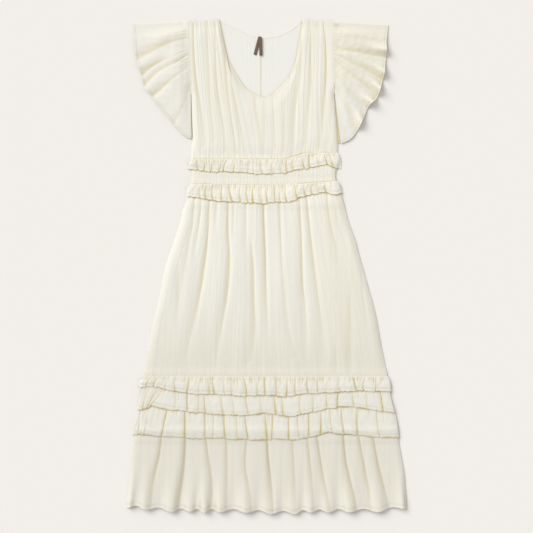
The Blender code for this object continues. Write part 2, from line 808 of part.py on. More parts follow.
def sleeve(dress, name, sections, side):
    """A flutter sleeve, gathered at the armhole and folded over along its top: one wall, back and front."""
    last = len(sections) - 1
    places = np.concatenate([SLEEVE_BACK_PLACES, np.arange(0, last + 0.25, 0.5)])
    is_back = np.arange(len(places)) < len(SLEEVE_BACK_PLACES)
    out = np.array(SLEEVE_ROWS)[:, None]
    armhole = left_edge if side < 0 else right_edge
    arm_y = np.interp(places, range(last + 1), [section.armhole_y for section in sections])
    hem_x = np.interp(places, range(last + 1), [section.hem_x for section in sections])
    hem_y = np.interp(places, range(last + 1), [section.hem_y for section in sections])
    hem_x = np.where(is_back, hem_x - side * SLEEVE_BACK_INSET, hem_x)
    hem_y = np.where(is_back, hem_y + SLEEVE_BACK_INSET, hem_y)
    x = between(armhole(arm_y) + side * SEAM, hem_x, out)
    y = between(arm_y, hem_y, out)
    # Below the underarm the free edge hangs beside the bodice, with a slit between them
    clear = np.where(out > 0, SLIT, SEAM)
    x = np.where(side * (x - armhole(y)) < clear, armhole(y) + side * clear, x)
    middle = smooth_between([section.middle for section in sections], places)
    hem = smooth_between([section.hem for section in sections], places)
    share = between(middle, hem, np.clip(2 * out - 1, 0, 1))
    reach = between(SLEEVE_SEAM_LIFT, SLEEVE_HEM_LIFT, out)
    z = np.where(is_back, CLOTH, CLOTH + SLEEVE_INSIDE + reach * share)
    inner = np.stack([x, y, z], axis=-1)
    thickness = np.zeros_like(inner)
    thickness[..., 2] = np.where(is_back, -CLOTH, CLOTH)
    # At the top fold the cloth stands upright, its inner side one layer inside the outer one
    fold = len(SLEEVE_BACK_PLACES)
    inner[:, fold, 1] -= CLOTH
    inner[:, fold, 2] = CLOTH + SLEEVE_INSIDE / 2
    thickness[:, fold] = (0.0, CLOTH, 0.0)
    dress.add(name, wall(inner, thickness))


def neck_ribbon(dress):
    """The plain ribbon folded in two and caught in the back neck seam, lying on the back bodice."""
    bm = bmesh.new()
    low = (CLOTH + SEAM) * MM
    face = bm.faces.new([bm.verts.new((point.x * MM, point.y * MM, low)) for point in RIBBON])
    raised = bmesh.ops.extrude_face_region(bm, geom=[face], use_keep_orig=True)["geom"]
    verts = [item for item in raised if isinstance(item, bmesh.types.BMVert)]
    bmesh.ops.translate(bm, verts=verts, vec=(0.0, 0.0, CLOTH * MM))
    dress.add("neck_ribbon", bm, BROWN, 0.8)


def main():
    clear_scene()
    dress = Dress()
    back_bodice(dress)
    back_ruffles(dress)
    back_panels(dress)
    dress.backs = list(dress.trees)
    front_bodice(dress)
    waistband_front(dress)
    skirt_front(dress)
    flounce_front(dress)
    for ruffle in RUFFLES:
        ruffle_front(dress, ruffle)
    sleeve(dress, "sleeve_left", LEFT_SLEEVE, -1)
    sleeve(dress, "sleeve_right", RIGHT_SLEEVE, 1)
    neck_ribbon(dress)


main()
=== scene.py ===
# %% [markdown]
# # A ruffled midi dress, laid flat
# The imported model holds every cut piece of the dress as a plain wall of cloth. This lesson dresses
# that model: each piece gets its real folds, gathers and hems, and a woven finish. The dress lies
# face up on the floor, so X runs across it, Y from the hem to the shoulders, and Z up from the floor.
# All tables are in millimetres, because a dressmaker measures in them, and one factor turns them
# into Blender's metres when a mesh is made.

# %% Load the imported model
from collections import namedtuple
from functools import partial

import bpy
import numpy as np
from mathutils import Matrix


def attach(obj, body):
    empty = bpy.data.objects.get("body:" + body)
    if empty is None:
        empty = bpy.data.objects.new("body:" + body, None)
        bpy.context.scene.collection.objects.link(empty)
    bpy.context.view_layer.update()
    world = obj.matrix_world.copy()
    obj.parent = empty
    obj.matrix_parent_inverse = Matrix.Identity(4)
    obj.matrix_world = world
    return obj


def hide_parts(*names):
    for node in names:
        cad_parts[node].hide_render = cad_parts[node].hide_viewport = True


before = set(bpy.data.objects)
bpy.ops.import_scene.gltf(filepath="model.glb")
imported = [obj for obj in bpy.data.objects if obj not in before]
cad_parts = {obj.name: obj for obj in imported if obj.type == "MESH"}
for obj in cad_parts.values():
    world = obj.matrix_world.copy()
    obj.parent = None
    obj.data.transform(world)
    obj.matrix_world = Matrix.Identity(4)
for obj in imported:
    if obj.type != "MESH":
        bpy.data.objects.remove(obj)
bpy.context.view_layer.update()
MM = 0.001
print("pieces in the model:", len(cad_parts))

# %% [markdown]
# ## The studio
# The dress was laid on a pale, even surface and seen from straight above. A long lens keeps the view
# almost parallel, as from a high copy stand. One wide sun from the upper left draws the folds and
# throws soft shadows to the lower right, and a pale sky fills them. Area lamps would also do, but
# their light falls off across the floor, and the real surface is the same colour everywhere.

# %% Camera
FRAME_WIDTH = 1305.85
LENS, SENSOR = 85.0, 36.0


def add_object(name, data):
    """A new object that holds the data, in the scene and at the origin."""
    made = bpy.data.objects.new(name, data)
    bpy.context.collection.objects.link(made)
    return made


camera = add_object("camera", bpy.data.cameras.new("camera"))
camera.data.lens = LENS
camera.data.sensor_width = SENSOR
camera.location = (0.0, 0.0, FRAME_WIDTH * MM * LENS / SENSOR)
bpy.context.scene.camera = camera
bpy.context.scene.view_settings.view_transform = "Standard"
print("camera height", round(camera.location.z, 3), "m")

# %% Light and floor
SUN_STRENGTH, SKY_STRENGTH = 2.26, 0.672
SUN_HEIGHT, SUN_TURN, SUN_SOFTNESS = 38.0, 48.0, 38.0
SKY_COLOUR = (1.0, 0.995, 0.985, 1.0)
FLOOR_COLOUR = (0.80, 0.777, 0.741, 1.0)
FLOOR_SIZE = 8.0


def set_inputs(node, values):
    """Set a node's own sockets, by name, to constant values."""
    for label, value in values.items():
        node.inputs[label].default_value = value


sun = add_object("sun", bpy.data.lights.new("sun", "SUN"))
sun.data.energy = SUN_STRENGTH
sun.data.angle = np.radians(SUN_SOFTNESS)
sun.rotation_euler = (0.0, np.radians(SUN_HEIGHT - 90.0), np.radians(SUN_TURN - 90.0))

world = bpy.data.worlds.new("studio")
world.use_nodes = True
set_inputs(world.node_tree.nodes["Background"], {"Color": SKY_COLOUR, "Strength": SKY_STRENGTH})
bpy.context.scene.world = world

corners = [(x * FLOOR_SIZE, y * FLOOR_SIZE, 0.0) for x, y in ((-1, -1), (1, -1), (1, 1), (-1, 1))]
floor_mesh = bpy.data.meshes.new("floor")
floor_mesh.from_pydata(corners, [], [(0, 1, 2, 3)])
floor = add_object("floor", floor_mesh)
floor_paper = bpy.data.materials.new("floor_paper")
floor_paper.use_nodes = True
set_inputs(
    floor_paper.node_tree.nodes["Principled BSDF"],
    {"Base Color": FLOOR_COLOUR, "Roughness": 1.0, "Specular IOR Level": 0.0},
)
floor_mesh.materials.append(floor_paper)

# %% [markdown]
# ## Woven cream cloth
# The cloth is a soft, matt weave whose fine twill lines turn back and forth in narrow stripes, which
# is what herringbone means. Three things make it look real: the zigzag of the weave, a crinkle that
# runs down the threads, and a warmer, darker tone painted deep in the folds as shade, where light is
# caught between layers.
# The weave and the stitches are effects that several finishes share, so each is a node group with
# named sockets. They read the cloth's own UV map, which is laid out in metres along the threads, so
# the pattern keeps its size and follows every fold. The photograph is too coarse to show how fine
# the weave is, so its pitch here is a guess.


# %% Small helpers for building node trees
def add_node(tree, kind, inputs=None, **settings):
    """Add a node; an input is given a value, or linked when a socket is passed."""
    made = tree.nodes.new(kind)
    for key, value in settings.items():
        setattr(made, key, value)
    for key, value in (inputs or {}).items():
        if isinstance(value, bpy.types.NodeSocket):
            tree.links.new(value, made.inputs[key])
        else:
            made.inputs[key].default_value = value
    return made


def calculate(tree, operation, *values):
    """One step of arithmetic on sockets or numbers."""
    return add_node(tree, "ShaderNodeMath", dict(enumerate(values)), operation=operation).outputs[0]


def mixed(tree, factor, first, second, blend="MIX"):
    """A colour mixed from two colours. The Mix node has a set of sockets for each kind of value:
    its colours are inputs 6 and 7, and the mixed colour is output 2."""
    colours = {0: factor, 6: first, 7: second}
    return add_node(tree, "ShaderNodeMix", colours, data_type="RGBA", blend_type=blend).outputs[2]


def new_group(name, inputs, outputs):
    """An empty node group with the named input and output sockets."""
    group = bpy.data.node_groups.new(name, "ShaderNodeTree")
    for label, kind in inputs.items():
        group.interface.new_socket(label, in_out="INPUT", socket_type=kind)
    for label, kind in outputs.items():
        group.interface.new_socket(label, in_out="OUTPUT", socket_type=kind)
    return group, group.nodes.new("NodeGroupInput"), group.nodes.new("NodeGroupOutput")


# %% The herringbone weave as a node group
def make_weave():
    """Twill lines: sine of (v + u folded back and forth in stripes) over the pitch, shifted by half a
    line in every other stripe; a second, finer sine across them gives the single threads."""
    group, given, result = new_group(
        "herringbone_weave",
        {"Cloth": "NodeSocketVector", "Stripe": "NodeSocketFloat", "Pitch": "NodeSocketFloat"},
        {"Height": "NodeSocketFloat", "Shade": "NodeSocketFloat"},
    )
    step = partial(calculate, group)
    stripe_width, pitch = given.outputs["Stripe"], given.outputs["Pitch"]
    place = add_node(group, "ShaderNodeSeparateXYZ", {0: given.outputs["Cloth"]})
    u, v = place.outputs[0], place.outputs[1]
    zigzag = step("PINGPONG", u, stripe_width)
    stripe = step("FLOOR", step("DIVIDE", u, stripe_width))
    shift = step("MULTIPLY", step("MODULO", stripe, 2.0), pitch)
    line = step("ADD", step("ADD", v, zigzag), step("MULTIPLY", shift, 0.5))
    turns = step("DIVIDE", step("MULTIPLY", line, 2 * np.pi), pitch)
    twill = step("SINE", turns)
    across = step("DIVIDE", step("MULTIPLY", u, 4 * np.pi), pitch)
    threads = step("SINE", step("SUBTRACT", across, turns))
    height = step("ADD", step("MULTIPLY", twill, 0.4), step("MULTIPLY", threads, 0.15))
    group.links.new(step("ADD", height, 0.5), result.inputs["Height"])
    group.links.new(step("MULTIPLY_ADD", twill, 0.5, 0.5), result.inputs["Shade"])
    return group


weave_group = make_weave()


# %% Hem stitches as a node group
# The second row's share of the hem, half a thread in millimetres, and one stitch in metres
SECOND_ROW, THREAD, STITCH = 0.72, 0.45, 0.0028


def make_stitches():
    """Two rows of stitches above a turned hem: a band round each row's distance from the free edge,
    broken into dashes by a wave along the edge; the hem itself is one layer thicker."""
    group, given, result = new_group(
        "hem_stitches",
        {"From edge": "NodeSocketFloat", "Along": "NodeSocketFloat", "Turn": "NodeSocketFloat"},
        {"Thread": "NodeSocketFloat", "Height": "NodeSocketFloat"},
    )
    step = partial(calculate, group)
    from_edge, turn = given.outputs["From edge"], given.outputs["Turn"]
    rows = []
    for share in (1.0, SECOND_ROW):
        row = step("MULTIPLY", turn, share)
        away = step("ABSOLUTE", step("SUBTRACT", from_edge, row))
        rows.append(step("LESS_THAN", away, THREAD))
    band = step("MAXIMUM", *rows)
    dash = step("SINE", step("MULTIPLY", given.outputs["Along"], 2 * np.pi / STITCH))
    thread = step("MULTIPLY", band, step("GREATER_THAN", dash, -0.5))
    double = step("LESS_THAN", from_edge, turn)
    group.links.new(thread, result.inputs["Thread"])
    height = step("SUBTRACT", step("MULTIPLY", double, 0.25), step("MULTIPLY", band, 0.18))
    group.links.new(height, result.inputs["Height"])
    return group


stitch_group = make_stitches()


# %% A cloth finish
STRIPE_WIDTH, TWILL_PITCH = 0.0045, 0.0012
STREAKS, BLOTCHES = (240.0, 22.0, 1.0), (26.0, 9.0, 1.0)
# Painted shade: the light is made to fall off towards the hem, so the cloth is a little darker at the hem
# than at the neck, and fades between these two heights
PAINTED_LIGHT_AT_HEM, FADE_FROM, FADE_TO = 0.91, -0.35, 0.15


def clouds(tree, cloth, scale, detail):
    """Noise over the cloth, stretched along its threads by a scale for each axis."""
    stretched = add_node(tree, "ShaderNodeMapping", {"Vector": cloth, "Scale": scale}).outputs[0]
    return add_node(tree, "ShaderNodeTexNoise", {"Vector": stretched, "Detail": detail}).outputs["Fac"]


def cloth_finish(name, colour, shade_colour, crinkle, roughness=0.9, turn=0.0):
    """Principled cloth: its colour is mixed towards a warmer, darker shade colour by the painted shade
    attribute, which paints shade into creases and under edges; it is darkened a little towards the
    hem as painted shade, and broken up by the weave. Weave, crinkle and hem add up to one height, in
    millimetres, that feeds a single Bump node."""
    material = bpy.data.materials.new(name)
    material.use_nodes = True
    tree = material.node_tree
    shader, step = tree.nodes["Principled BSDF"], partial(calculate, tree)
    set_inputs(shader, {"Roughness": roughness, "Specular IOR Level": 0.25})
    set_inputs(shader, {"Sheen Weight": 0.12, "Sheen Roughness": 0.5})

    cloth = add_node(tree, "ShaderNodeUVMap", uv_map="cloth").outputs["UV"]
    painted_shade = add_node(tree, "ShaderNodeAttribute", attribute_name="painted_shade").outputs["Fac"]
    threads = {"Cloth": cloth, "Stripe": STRIPE_WIDTH, "Pitch": TWILL_PITCH}
    weave = add_node(tree, "ShaderNodeGroup", threads, node_tree=weave_group)
    streaks, blotches = clouds(tree, cloth, STREAKS, 3.0), clouds(tree, cloth, BLOTCHES, 2.0)

    # Painted shade: the cream is mixed towards the shade colour where the painted shade attribute asks
    shade_tone = mixed(tree, painted_shade, (*colour, 1.0), (*shade_colour, 1.0))
    bright = step("MULTIPLY_ADD", weave.outputs["Shade"], 0.04, 0.945)
    bright = step("MULTIPLY_ADD", streaks, 0.05, bright)
    bright = step("MULTIPLY_ADD", blotches, 0.02, bright)
    height = step("MULTIPLY", weave.outputs["Height"], 0.10)
    height = step("MULTIPLY_ADD", streaks, crinkle, height)
    # Painted shade: the light is made to fall off towards the hem, darkening the cloth there
    place = add_node(tree, "ShaderNodeTexCoord").outputs["Object"]
    up_dress = add_node(tree, "ShaderNodeSeparateXYZ", {0: place}).outputs[1]
    fade = {0: up_dress, 1: FADE_FROM, 2: FADE_TO, 3: PAINTED_LIGHT_AT_HEM, 4: 1.0}
    painted_hem_shade = add_node(tree, "ShaderNodeMapRange", fade, interpolation_type="SMOOTHSTEP")
    bright = step("MULTIPLY", bright, painted_hem_shade.outputs[0])
    if turn:
        edge = add_node(tree, "ShaderNodeAttribute", attribute_name="from_edge").outputs["Fac"]
        along = add_node(tree, "ShaderNodeSeparateXYZ", {0: cloth}).outputs[0]
        hem_inputs = {"From edge": edge, "Along": along, "Turn": turn}
        hem = add_node(tree, "ShaderNodeGroup", hem_inputs, node_tree=stitch_group)
        bright = step("MULTIPLY_ADD", hem.outputs["Thread"], -0.035, bright)
        height = step("ADD", height, hem.outputs["Height"])
    shade = add_node(tree, "ShaderNodeCombineColor", {0: bright, 1: bright, 2: bright})
    tree.links.new(mixed(tree, 1.0, shade_tone, shade.outputs[0], "MULTIPLY"), shader.inputs["Base Color"])
    bump = add_node(tree, "ShaderNodeBump", {"Height": height, "Distance": 0.001, "Strength": 1.0})
    tree.links.new(bump.outputs[0], shader.inputs["Normal"])
    return material


# Apart from the brown ribbon these finishes stand for one cream cloth: their small differences in
# brightness are painted light and shade, set panel by panel
FRONT_CREAM = cloth_finish("front_cream", (0.80, 0.785, 0.700), (0.67, 0.595, 0.39), 0.45)
RUFFLE_CREAM = cloth_finish("ruffle_cream", (0.815, 0.795, 0.712), (0.60, 0.50, 0.24), 0.40, turn=9.0)
SLEEVE_CREAM = cloth_finish("sleeve_cream", (0.775, 0.757, 0.680), (0.68, 0.60, 0.34), 0.50, turn=5.0)
FLOUNCE_CREAM = cloth_finish("flounce_cream", (0.795, 0.772, 0.682), (0.58, 0.515, 0.36), 0.45, turn=10.0)
BACK_CREAM = cloth_finish("back_cream", (0.80, 0.795, 0.740), (0.72, 0.64, 0.42), 0.35)
RIBBON_BROWN = cloth_finish("ribbon_brown", (0.15, 0.10, 0.07), (0.06, 0.04, 0.03), 0.20, roughness=0.7)
print("finishes:", [m.name for m in bpy.data.materials if "cream" in m.name or "brown" in m.name])

# %% [markdown]
# ## The outline and the seams
# A dress laid flat is first of all its outline: the shoulders, the waist drawn in by its shirring,
# and the skirt that widens to the hem. The outline is a short table of widths down the dress. A
# curve tool could join the points, but a running mean over the straight lines between them rounds
# the corners just as well, and moves no measured edge by more than 1.2 mm.

# %% Outline and seam tables
LENGTH, HEM_WIDTH = 1210.0, 688.0
LAYER = 0.8
GAP = 0.35

# Each row: y, then x of the left and the right edge
OUTLINE = [
    (604, -190, 163), (427, -185, 165), (310, -180, 175), (285, -184, 174), (261, -186, 173),
    (231, -183, 168), (212, -183, 168), (200, -185, 172), (172, -191, 184), (143, -203, 192),
    (104, -212, 202), (65, -224, 217), (26, -239, 227), (-14, -251, 239), (-53, -258, 249),
    (-92, -266, 261), (-131, -277, 270), (-180, -285, 278), (-240, -294, 290), (-270, -299, 296),
    (-310, -304, 301), (-356, -311, 309), (-398, -319, 318), (-454, -329, 328), (-503, -333, 337),
    (-552, -339, 341), (-584, -HEM_WIDTH / 2, HEM_WIDTH / 2),
    (-LENGTH / 2, -HEM_WIDTH / 2, HEM_WIDTH / 2),
]
BODICE_SEAM = [(-195, 261), (45, 261), (94, 276), (185, 278)]
SKIRT_SEAM = [(-195, 200), (80, 201), (185, 209)]
BACK_BODICE_SEAM_Y, WAIST_Y, BACK_SKIRT_SEAM_Y, FLOUNCE_SEAM_Y = 261.0, 231.0, 200.0, -398.0
SEAM_GAP, SIDE_GAP = 0.3, 0.4
CENTRE_BACK = -14.0
BACK_NECK = [
    (-190, 598), (-153, 602), (-116, 605), (-90, 590), (-62, 578), (-38, 567), (-14, 561),
    (25, 565), (53, 576), (71, 588), (89, 605), (126, 602), (163, 599),
]


def along(points, x):
    """Height of a line of points at each x, straight between them."""
    table = np.array(points, dtype=float)
    return np.interp(x, table[:, 0], table[:, 1])


def edge_at(y, side):
    """X of the outline at each height: the mean of the straight-line table over 12 mm up and down."""
    table = np.array(OUTLINE[::-1], dtype=float)
    shifted = [np.interp(y + shift, table[:, 0], table[:, side]) for shift in (-12, -6, 0, 6, 12)]
    return np.mean(shifted, axis=0)


def level(y):
    """A seam that runs straight across the dress at one height."""
    return [(-HEM_WIDTH, y), (HEM_WIDTH, y)]


def between(start, end, share):
    """The value that lies a share of the way from start to end."""
    return start + (end - start) * share


def x_across(y, share, margin=0.0):
    """X at a share of the way across the outline, which is drawn in by a margin on both sides."""
    return between(edge_at(y, 1) + margin, edge_at(y, 2) - margin, share)


def from_side(x, y):
    """Distance to the nearer side of the outline."""
    return np.minimum(x - edge_at(y, 1), edge_at(y, 2) - x)


def eased(share):
    """0 to 1 with level ends: 3s^2 - 2s^3."""
    share = np.clip(share, 0.0, 1.0)
    return share * share * (3.0 - 2.0 * share)


print("waist", round(float(edge_at(220.0, 2) - edge_at(220.0, 1))), "mm, hem", HEM_WIDTH, "mm")

# %% [markdown]
# ## Laying one piece on another
# Cloth rests on whatever lies beneath it. A collision simulation could drop each piece, but it would
# lose the folds that are given one by one. Instead a height map of the whole dress is kept, one cell
# to a millimetre. A new piece reads it through a wide, soft brush, so it rides over seams and bumps
# without copying each of them, and once laid it is added to the map for the next one.

# %% The height map
WEST, SOUTH = -372, -632
heap = np.zeros((1264, 744))
cell_y, cell_x = np.mgrid[SOUTH : SOUTH + heap.shape[0], WEST : WEST + heap.shape[1]]


def spread(field, reach):
    """Each cell takes the highest value within reach cells, first along one axis, then the other."""
    for axis in (0, 1):
        field = np.max([np.roll(field, shift, axis) for shift in range(-reach, reach + 1)], axis=0)
    return field


def blurred(field, reach):
    """Each cell takes the mean within reach cells, first along one axis, then the other."""
    for axis in (0, 1):
        field = np.mean([np.roll(field, shift, axis) for shift in range(-reach, reach + 1)], axis=0)
    return field


def sampled(field, x, y):
    """The map's value at each place, mixed from its four nearest cells."""
    column = np.clip(x - WEST, 0, field.shape[1] - 2)
    row = np.clip(y - SOUTH, 0, field.shape[0] - 2)
    i, j = row.astype(int), column.astype(int)
    s, t = row - i, column - j
    lower = between(field[i, j], field[i, j + 1], t)
    upper = between(field[i + 1, j], field[i + 1, j + 1], t)
    return between(lower, upper, s)


def beneath(x, y, seam=None, ease=4):
    """Height that a piece may rest at: the map spread by more than it is blurred, so never below it.
    Above its seam only the back counts, because there the piece is joined edge to edge."""
    ground = heap if seam is None else np.where(cell_y > along(seam, cell_x), back_heap, heap)
    return sampled(blurred(spread(ground, ease + 2), ease), x, y)


def finer(grid, by):
    """A grid with straight-line values put in between its rows and columns."""
    for axis in (0, 1):
        grid = np.moveaxis(grid, axis, 0)
        place = np.linspace(0, len(grid) - 1, (len(grid) - 1) * by[axis] + 1)
        low = np.minimum(place.astype(int), len(grid) - 2)
        share = (place - low)[:, None]
        grid = np.moveaxis(grid[low] * (1 - share) + grid[low + 1] * share, 0, axis)
    return grid


def press(x, y, z):
    """Add a laid piece to the map: put points closer than a cell, and keep the highest in each."""
    by = [int(np.ceil(np.abs(np.diff(np.stack([x, y]), axis=k + 1)).max() / 0.8)) for k in (0, 1)]
    x, y, z = (finer(grid, by) for grid in (x, y, z))
    cells = (np.rint(y - SOUTH).astype(int), np.rint(x - WEST).astype(int))
    np.maximum.at(heap, cells, z)


# %% [markdown]
# ## A sheet of cloth
# A sheet is a grid of points: rows run down the dress and columns across it. It becomes a mesh of
# four-sided faces, and a Solidify modifier gives it the thickness of cloth, downwards. The UV map
# holds the lengths measured along the cloth itself, over every fold, so that the weave keeps its
# size. Two attributes travel with the points: how much painted shade each takes, deep in a crease
# or under an edge, and how far it is from the free edge, where the hem is turned and stitched.

# %% Make a sheet from three grids
pieces, grids = {}, {}


def lengths_along(points, axis):
    """Running length of the cloth along an axis of the grid, measured over its folds."""
    steps = np.linalg.norm(np.diff(points, axis=axis), axis=-1)
    total = np.zeros(points.shape[:2])
    if axis == 0:
        total[1:] = np.cumsum(steps, axis=0)
    else:
        total[:, 1:] = np.cumsum(steps, axis=1)
    return total


def sheet(name, x, y, z, finish, painted_shade=0.0, from_edge=99.0, layer=LAYER):
    """Points (x, y, z) joined into quads, thickened by a layer, and put in place of the CAD node."""
    points = np.stack([x, y, z], axis=-1) * MM
    rows, columns = x.shape
    index = np.arange(rows * columns).reshape(rows, columns)
    around_quad = [index[:-1, :-1], index[1:, :-1], index[1:, 1:], index[:-1, 1:]]
    quads = np.stack(around_quad, axis=-1).reshape(-1, 4)
    mesh = bpy.data.meshes.new(name)
    mesh.from_pydata(points.reshape(-1, 3), [], quads)
    mesh.polygons.foreach_set("use_smooth", np.ones(len(quads), dtype=bool))
    corner_edges = np.empty(len(mesh.loops), dtype=np.int32)
    mesh.loops.foreach_get("edge_index", corner_edges)
    is_border = np.bincount(corner_edges, minlength=len(mesh.edges)) == 1
    mesh.attributes.new("sharp_edge", "BOOLEAN", "EDGE").data.foreach_set("value", is_border)
    u = lengths_along(points, 1)
    u -= u[:, columns // 2, None]
    uv = np.stack([u, -lengths_along(points, 0)], axis=-1).reshape(-1, 2)[quads.ravel()]
    mesh.uv_layers.new(name="cloth").data.foreach_set("uv", uv.ravel())
    for label, values in (("painted_shade", painted_shade), ("from_edge", from_edge)):
        spot = mesh.attributes.new(label, "FLOAT", "POINT")
        spot.data.foreach_set("value", np.broadcast_to(values, x.shape).astype(np.float32).ravel())
    mesh.materials.append(finish)
    piece = bpy.data.objects.new(name + "_cloth", mesh)
    bpy.context.collection.objects.link(piece)
    wall = piece.modifiers.new("thickness", "SOLIDIFY")
    wall.thickness = layer * MM
    wall.offset = -1.0
    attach(piece, "root")
    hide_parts(name)
    pieces[name] = piece
    grids[name] = (x, y, z)
    print(name, rows, "x", columns, "points, top", round(float(z.max()), 1), "mm")


def lay(name, x, y, z, *looks, **more_looks):
    """Make a sheet and add it to the height map."""
    sheet(name, x, y, z, *looks, **more_looks)
    press(x, y, z)


# %% [markdown]
# ## Folds, gathers and unevenness
# Three shapes make up nearly all of the dress's relief. A fold is a trough along a listed path,
# gentle on one bank and steep on the other, as a soft fold falls when it is smoothed from one side.
# Gathers are the small ribs that crowd at a seam and fade away from it. Unevenness is the slight
# wander that no pressed cloth is free of. Sculpting would give the same, but a rule with named sizes
# can be changed and laid on every panel alike.

# %% Fold, gathers and unevenness as formulas
Fold = namedtuple("Fold", "right left path")


def rounded(path):
    """Corners cut twice: each line gives points at its first and third quarter; the ends stay."""
    path = np.array(path, dtype=float)
    for _ in range(2):
        near, far = between(path[:-1], path[1:], 0.25), between(path[:-1], path[1:], 0.75)
        inner = np.stack([near, far], axis=1).reshape(-1, path.shape[1])
        path = np.concatenate([path[:1], inner[1:-1], path[-1:]])
    return path


def nearest(x, y, path):
    """For each place: its distance to the path, the path's own value there, the share of the path
    walked by then, and its side, which is positive on the walker's left hand."""
    away = np.full(x.shape, 1e9)
    value, walked, side = np.zeros((3, *x.shape))
    path = rounded(path)
    for k, ((x0, y0, d0), (x1, y1, d1)) in enumerate(zip(path, path[1:])):
        run, fall = x1 - x0, y1 - y0
        share = np.clip(((x - x0) * run + (y - y0) * fall) / (run * run + fall * fall), 0, 1)
        gap = np.hypot(x - x0 - share * run, y - y0 - share * fall)
        nearer = gap < away
        away = np.where(nearer, gap, away)
        value = np.where(nearer, between(d0, d1, share), value)
        walked = np.where(nearer, (k + share) / (len(path) - 1), walked)
        side = np.where(nearer, run * (y - y0) - fall * (x - x0), side)
    return away, value, walked, side


def trough(x, y, fold):
    """Depth at the nearest place on the path, times exp(-(distance / width)^power). Each bank has its
    own width, and a fold opens from two thirds of it at its start to one and a half times at its
    end, while the power grows from 1.2, a crisp foot, to 1.9, a round one. The painted shade has the
    same form, but keeps near the foot, mostly on the wider bank, and pales as the fold opens."""
    away, depth, walked, side = nearest(x, y, fold.path)
    wider = np.maximum(fold.left, fold.right)
    bank = np.where(side > 0, fold.left, fold.right)
    away = away / between(0.66, 1.5, walked)
    power = between(1.2, 1.9, walked)
    tone_width = np.where(bank == wider, 0.65, 0.25) * bank
    shade_tone = depth * between(1.1, 0.5, walked) * np.exp(-((away / tone_width) ** power))
    return depth * np.exp(-((away / bank) ** power)), shade_tone


def troughs(x, y, folds):
    """All the folds of a panel together, each adding its own depth and tone."""
    return np.sum([trough(x, y, fold) for fold in folds], axis=0)


def crests(x, y, folds, beside, width):
    """A ridge on the wider bank of each fold: the depth times exp(-((distance - beside) / width)^2)."""
    ridges = []
    for fold in folds:
        away, depth, _, side = nearest(x, y, fold.path)
        is_wider = (side > 0) == (fold.left > fold.right)
        ridges.append(np.where(is_wider, depth * np.exp(-(((away - beside) / width) ** 2)), 0.0))
    return np.max(ridges, axis=0)


def uneven(x, y, across, down, seed):
    """Ten sine waves in seeded directions, with wavelengths near across and down; mostly -1 to 1."""
    draw = np.random.default_rng(seed)
    turn, size = draw.uniform(0, np.pi, 10), draw.uniform(0.6, 1.6, 10)
    start = draw.uniform(0, 2 * np.pi, 10)
    waves = [
        np.sin(2 * np.pi * (x * np.cos(a) * s / across + y * np.sin(a) * s / down) + b)
        for a, s, b in zip(turn, size, start)
    ]
    return np.sum(waves, axis=0) / 4.0


def waver(x, length, seed):
    """Unevenness along one line, with wavelengths near the length."""
    return uneven(x, 0 * x, length, 1, seed)


def ribs(x, pitch, seed):
    """Gathers across a seam: |sin|^0.8 of x over the pitch. X is pushed about and the height varied,
    so that no two are alike."""
    pushed = x + pitch * 0.55 * waver(x, pitch * 5, seed)
    return np.abs(np.sin(np.pi * pushed / pitch)) ** 0.8 * (0.75 + 0.35 * waver(x, pitch * 3, seed + 1))


def settled(lift, softness=0.45):
    """Keeps a lift above zero with a soft floor: softness * log(1 + e^(lift / softness))."""
    return softness * np.logaddexp(0.0, lift / softness)


def rolled(x, y, width):
    """How far a panel has risen near its sides: half a parabola over the width, 1 further in."""
    return 1.0 - (1.0 - np.clip(from_side(x, y) / width, 0.0, 1.0)) ** 2


# %% [markdown]
# ## The back
# The back lies face down on the floor, so it is nearly flat, and the back halves of the ruffles are
# pressed under it. Only its neck shows in the photograph, inside the V: two halves, a centre-back
# seam with its allowance turned to one side, a rolled neck edge and faint gathers, with painted
# shade along the seam, the allowance's edge and below the neck roll. The rest is guessed: the other
# panels have shallow, uneven folds with painted shade in them, and step up by one layer over the
# pressed ruffles, which are flat here and show their gathers only as painted shade.

# %% Back bodice halves
BACK_LAYER = 1.2
ROWS, HALF_COLUMNS = 70, 60

neck_line = np.array(BACK_NECK, dtype=float)
for name, side in (("back_bodice_left", -1), ("back_bodice_right", 1)):
    half = neck_line[side * (neck_line[:, 0] - CENTRE_BACK) >= 0]
    across = np.linspace(0, 1, HALF_COLUMNS)
    across = across**1.6 if side > 0 else 1 - (1 - across) ** 1.6
    top_x = between(half[0, 0], half[-1, 0], across)
    top_y = along(half, top_x)
    down = np.linspace(0, 1, ROWS)[:, None] ** 1.3
    y = between(top_y, BACK_BODICE_SEAM_Y + SEAM_GAP, down)
    start = edge_at(y, 1) + SIDE_GAP if side < 0 else CENTRE_BACK + 0.15
    end = CENTRE_BACK - 0.15 if side < 0 else edge_at(y, 2) - SIDE_GAP
    x = between(start, end, across)
    to_seam = np.abs(x - CENTRE_BACK)
    to_neck = top_y - y
    flap = eased((8.0 - to_seam) / 1.2) * (0.6 if side < 0 else 0.0)
    roll = 0.7 * np.exp(-(((to_neck - 1.5) / 1.6) ** 2))
    gather = 0.5 * ribs(x, 11.0, 3) * np.exp(-to_neck / 90.0)
    relief = flap * 0.7 + roll + gather
    # Painted shade: dark lines along the centre-back seam, the edge of the turned allowance and just
    # below the neck roll
    painted_shade = 0.7 * np.exp(-((to_seam / 1.2) ** 2))
    painted_shade += (0.55 if side < 0 else 0.0) * np.exp(-(((to_seam - 8.4) / 1.0) ** 2))
    painted_shade += 0.25 * np.exp(-(((to_neck - 4.0) / 1.2) ** 2))
    lay(name, x, y, BACK_LAYER + relief, BACK_CREAM, painted_shade, layer=BACK_LAYER)

